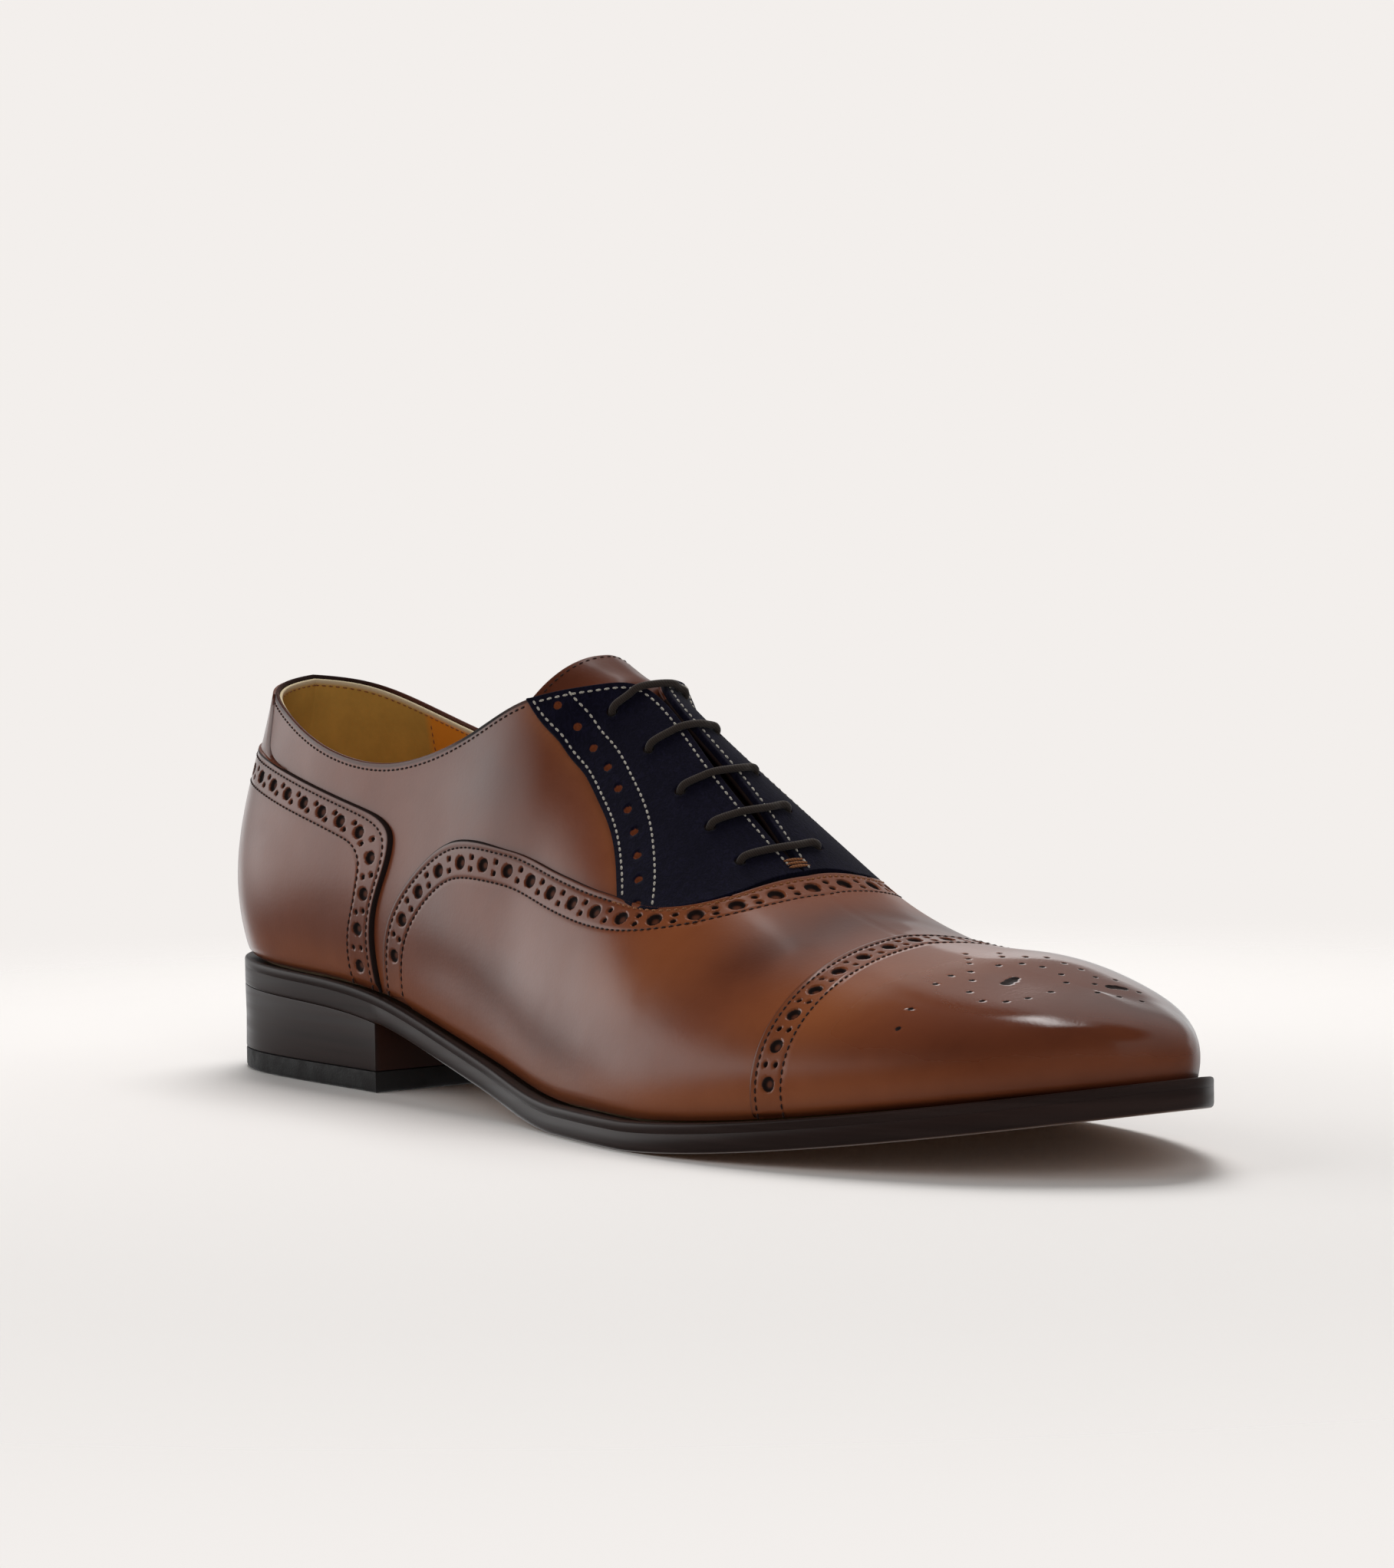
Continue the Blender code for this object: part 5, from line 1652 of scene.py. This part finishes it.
# Stage: the photograph's camera, a pale floor and soft light
CAMERA_PLACE = (0.90494, -0.66585, 0.13467)
CAMERA_AZIMUTH = 53.539
CAMERA_ELEVATION = 4.816
CAMERA_ROLL = -0.932
FOCAL_PIXELS = 7143.0
IMAGE_SIZE = (1817, 2044)
AIM_PIXEL = (897.6, 1195.3)
SENSOR = 36.0
FLOOR_FADE = (0.20, 0.48)
BACKDROP = (0.896, 0.863, 0.839, 1.0)

# The room that the shoe mirrors, in degrees and levels of light: a soft box on the left with a leaning
# edge and a level top, a strip overhead, a far side that brightens upwards, and behind on the right a panel
# with a leaning top, a lower part beside it and a brighter corner there
ROOM_LIGHT = 0.05
GROUND_LIGHT = 0.16
HORIZON = (-0.02, 0.02)
BOX_LIGHT = 2.5
BOX_AZIMUTH = -150.0
BOX_BACK = (-38.0, -14.0)
BOX_EDGE = (1.0, 9.0)
BOX_LEAN = 1.35
BOX_TOP = (20.0, 36.0)
BOX_FOOT = (-12.0, 4.0)
STRIP_LIGHT = 5.0
STRIP_NORMAL = (-0.530, -0.848, 0.0)
STRIP_EDGE = (0.0, 0.06)
STRIP_SIDE = (0.05, 0.15)
STRIP_FOOT = (44.0, 54.0)
STRIP_TOP = (64.0, 76.0)
FAR_LIGHT = (0.12, 0.50)
FAR_END = (56.0, 72.0)
PANEL_LIGHT = (0.55, 1.45)
PANEL_RISE = (4.0, 34.0)
PANEL_AZIMUTH = 146.0
PANEL_LEAN = 1.3
PANEL_LEFT = (-60.0, -50.0)
PANEL_RIGHT = (6.0, 12.0)
PANEL_TOP = (31.0, 32.4)
LOW_RIGHT = (24.0, 36.0)
LOW_TOP = (10.0, 22.0)
CORNER_LIGHT = 1.0
CORNER_LEFT = (6.0, 16.0)

# Fill lights that light but aren't mirrored: name, place, aim, size, power
FILLS = (
    ("top_fill", (-0.55, 0.45, 1.2), (0.02, 0.0, 0.03), (0.9, 0.6), 14.5),
    ("front_fill", (1.2, -0.7, 0.6), (0.05, 0.0, 0.04), (1.0, 1.0), 4.6),
    ("near_fill", (-0.3, -1.2, 1.0), (0.0, 0.0, 0.05), (0.9, 0.9), 3.0),
)


def stand(place, right, up, back):
    """Matrix of a camera or lamp at a place, with its three axes."""
    return Matrix.Translation(place) @ Matrix((right, up, back)).transposed().to_4x4()


class OXFORD_OT_stage(bpy.types.Operator):
    """Pale floor, soft studio light and the photograph's camera."""

    bl_idname = "oxford.stage"
    bl_label = "Stage"

    def execute(self, context):
        scene = context.scene
        scene.view_settings.view_transform = "Standard"
        self.camera(scene)
        self.floor(scene)
        self.light(scene)
        return {"FINISHED"}

    def camera(self, scene):
        """Camera aimed so that the frame's centre is on its axis, with no shift."""
        azimuth, elevation, roll = np.radians((CAMERA_AZIMUTH, CAMERA_ELEVATION, CAMERA_ROLL))
        flat = np.cos(elevation)
        back = np.array((np.sin(azimuth) * flat, -np.cos(azimuth) * flat, np.sin(elevation)))
        right = unit(np.cross((0.0, 0.0, 1.0), back))
        up = np.cross(back, right)
        right, up = np.cos(roll) * right + np.sin(roll) * up, np.cos(roll) * up - np.sin(roll) * right
        aside = (IMAGE_SIZE[0] / 2 - AIM_PIXEL[0]) / FOCAL_PIXELS
        above = (AIM_PIXEL[1] - IMAGE_SIZE[1] / 2) / FOCAL_PIXELS
        back = unit(back - aside * right - above * up)
        right = unit(np.cross(up, back))
        up = np.cross(back, right)
        data = bpy.data.cameras.new("photo_camera")
        data.sensor_width = SENSOR
        data.lens = SENSOR * FOCAL_PIXELS / max(IMAGE_SIZE)
        data.clip_start = 0.01
        camera = bpy.data.objects.new("photo_camera", data)
        camera.matrix_world = stand(CAMERA_PLACE, right, up, back)
        scene.collection.objects.link(camera)
        scene.camera = camera

    def floor(self, scene):
        """Pale floor round the shoe that fades into the backdrop."""
        colour = scene.oxford_colours.floor
        material, tree, shader = finish_of("floor_paper", Roughness=0.9, Specular_IOR_Level=0.0)
        place = object_place(tree)
        paper = mix_colours(tree, noise(tree, place, 3.0), colour, shaded(colour, 0.99))
        tree.links.new(paper, shader.inputs["Base Color"])
        away = add_node(tree, "ShaderNodeVectorMath", {0: place}, operation="LENGTH").outputs["Value"]
        tree.links.new(ramp(tree, away, *FLOOR_FADE, 1.0, 0.0), shader.inputs["Alpha"])
        mesh = bpy.data.meshes.new("floor")
        reach = FLOOR_FADE[1]
        corners = [(-reach, -reach, 0), (reach, -reach, 0), (reach, reach, 0), (-reach, reach, 0)]
        mesh.from_pydata(corners, [], [(0, 1, 2, 3)])
        mesh.materials.append(material)
        floor = bpy.data.objects.new("floor", mesh)
        floor.visible_glossy = False
        scene.collection.objects.link(floor)

    def light(self, scene):
        """Pale backdrop for the camera, a room with soft boxes for the shoe to mirror, and fill lights."""
        world = bpy.data.worlds.new("studio")
        scene.world = world
        world.use_nodes = True
        tree = world.node_tree
        backdrop = tree.nodes["Background"]
        backdrop.inputs["Color"].default_value = BACKDROP
        room = add_node(tree, "ShaderNodeBackground")
        tree.links.new(self.room_light(tree), room.inputs["Strength"])
        choice = add_node(tree, "ShaderNodeMixShader")
        tree.links.new(add_node(tree, "ShaderNodeLightPath").outputs["Is Camera Ray"], choice.inputs["Fac"])
        tree.links.new(room.outputs["Background"], choice.inputs[1])
        tree.links.new(backdrop.outputs["Background"], choice.inputs[2])
        tree.links.new(choice.outputs["Shader"], tree.nodes["World Output"].inputs["Surface"])
        for name, place, aim, size, power in FILLS:
            data = bpy.data.lights.new(name, "AREA")
            data.shape = "RECTANGLE"
            data.size, data.size_y = size
            data.energy = power
            lamp = bpy.data.objects.new(name, data)
            back_axis = unit(np.array(place) - np.array(aim))
            right = unit(np.cross((0.0, 1.0, 0.0), back_axis))
            lamp.matrix_world = stand(place, right, np.cross(back_axis, right), back_axis)
            lamp.visible_glossy = False
            scene.collection.objects.link(lamp)

    def room_light(self, tree):
        """Light by direction: the sum of the ground, the far side, the soft box, the strip and the panel."""
        place = add_node(tree, "ShaderNodeTexCoord").outputs["Generated"]

        def toward(direction):
            inputs = {0: place, 1: direction}
            return add_node(tree, "ShaderNodeVectorMath", inputs, operation="DOT_PRODUCT").outputs["Value"]

        def level(azimuth):
            turn = np.radians(azimuth)
            return toward((np.cos(turn), np.sin(turn), 0.0))

        def bearing(azimuth):
            return math(tree, "ARCTAN2", level(azimuth + 90.0), level(azimuth))

        def leaning(a, b, slope):
            return math(tree, "SUBTRACT", a, math(tree, "MULTIPLY", b, slope))

        def rising(angle, limits, low=0.0, high=1.0):
            return ramp(tree, angle, *np.radians(limits), low, high)

        def falling(angle, limits, high=1.0):
            return ramp(tree, angle, *np.radians(limits), high, 0.0)

        def product(*masks):
            result = masks[0]
            for mask in masks[1:]:
                result = math(tree, "MULTIPLY", result, mask)
            return result

        height = toward((0.0, 0.0, 1.0))
        rise = math(tree, "ARCSINE", height)
        aside = bearing(BOX_AZIMUTH)
        box = product(rising(aside, BOX_BACK), falling(leaning(aside, rise, BOX_LEAN), BOX_EDGE),
                      rising(rise, BOX_FOOT), falling(rise, BOX_TOP, BOX_LIGHT))
        across = toward(STRIP_NORMAL)
        strip = product(ramp(tree, math(tree, "ABSOLUTE", across), *STRIP_EDGE, 1.0, 0.0),
                        ramp(tree, level(PANEL_AZIMUTH), *STRIP_SIDE),
                        rising(rise, STRIP_FOOT, 0.0, STRIP_LIGHT), falling(rise, STRIP_TOP))
        far = product(ramp(tree, across, -STRIP_EDGE[1], 0.0, 1.0, 0.0),
                      ramp(tree, height, 0.0, 1.0, *FAR_LIGHT), falling(rise, FAR_END))
        aside = bearing(PANEL_AZIMUTH)
        left = rising(aside, PANEL_LEFT)
        below = product(falling(aside, LOW_RIGHT), falling(rise, LOW_TOP))
        panel = product(left, falling(aside, PANEL_RIGHT),
                        falling(leaning(rise, aside, PANEL_LEAN), PANEL_TOP))
        panel = math(tree, "MAXIMUM", panel, product(left, below))
        panel = product(panel, rising(rise, PANEL_RISE, *PANEL_LIGHT))
        corner = product(rising(aside, CORNER_LEFT, 0.0, CORNER_LIGHT), below)
        total = ramp(tree, height, *HORIZON, GROUND_LIGHT, ROOM_LIGHT)
        for part in (far, box, strip, panel, corner):
            total = math(tree, "ADD", total, part)
        return total


STEPS = (OXFORD_OT_upper, OXFORD_OT_panels, OXFORD_OT_facings, OXFORD_OT_tongue, OXFORD_OT_laces,
         OXFORD_OT_sole, OXFORD_OT_heel, OXFORD_OT_stage)


class OXFORD_PT_panel(bpy.types.Panel):
    """Sizes, colours and steps of the shoe."""

    bl_idname = "OXFORD_PT_panel"
    bl_label = "Half brogue oxford"
    bl_space_type = "VIEW_3D"
    bl_region_type = "UI"
    bl_category = "Oxford"

    def draw(self, context):
        for group in (context.scene.oxford_sizes, context.scene.oxford_colours):
            box = self.layout.box()
            for key in group.__annotations__:
                box.prop(group, key)
        for step in STEPS:
            self.layout.operator(step.bl_idname)


CLASSES = (OxfordSizes, OxfordColours) + STEPS + (OXFORD_PT_panel,)


def register():
    """Add the classes and the shoe's settings."""
    for item in CLASSES:
        bpy.utils.register_class(item)
    bpy.types.Scene.oxford_sizes = bpy.props.PointerProperty(type=OxfordSizes)
    bpy.types.Scene.oxford_colours = bpy.props.PointerProperty(type=OxfordColours)


def unregister():
    """Take the classes and settings away."""
    del bpy.types.Scene.oxford_colours
    del bpy.types.Scene.oxford_sizes
    for item in reversed(CLASSES):
        bpy.utils.unregister_class(item)


def main():
    """Build every piece."""
    register()
    bpy.ops.oxford.upper()
    bpy.ops.oxford.panels()
    bpy.ops.oxford.facings()
    bpy.ops.oxford.tongue()
    bpy.ops.oxford.laces()
    bpy.ops.oxford.sole()
    bpy.ops.oxford.heel()
    bpy.ops.oxford.stage()


if __name__ == "__main__":
    main()
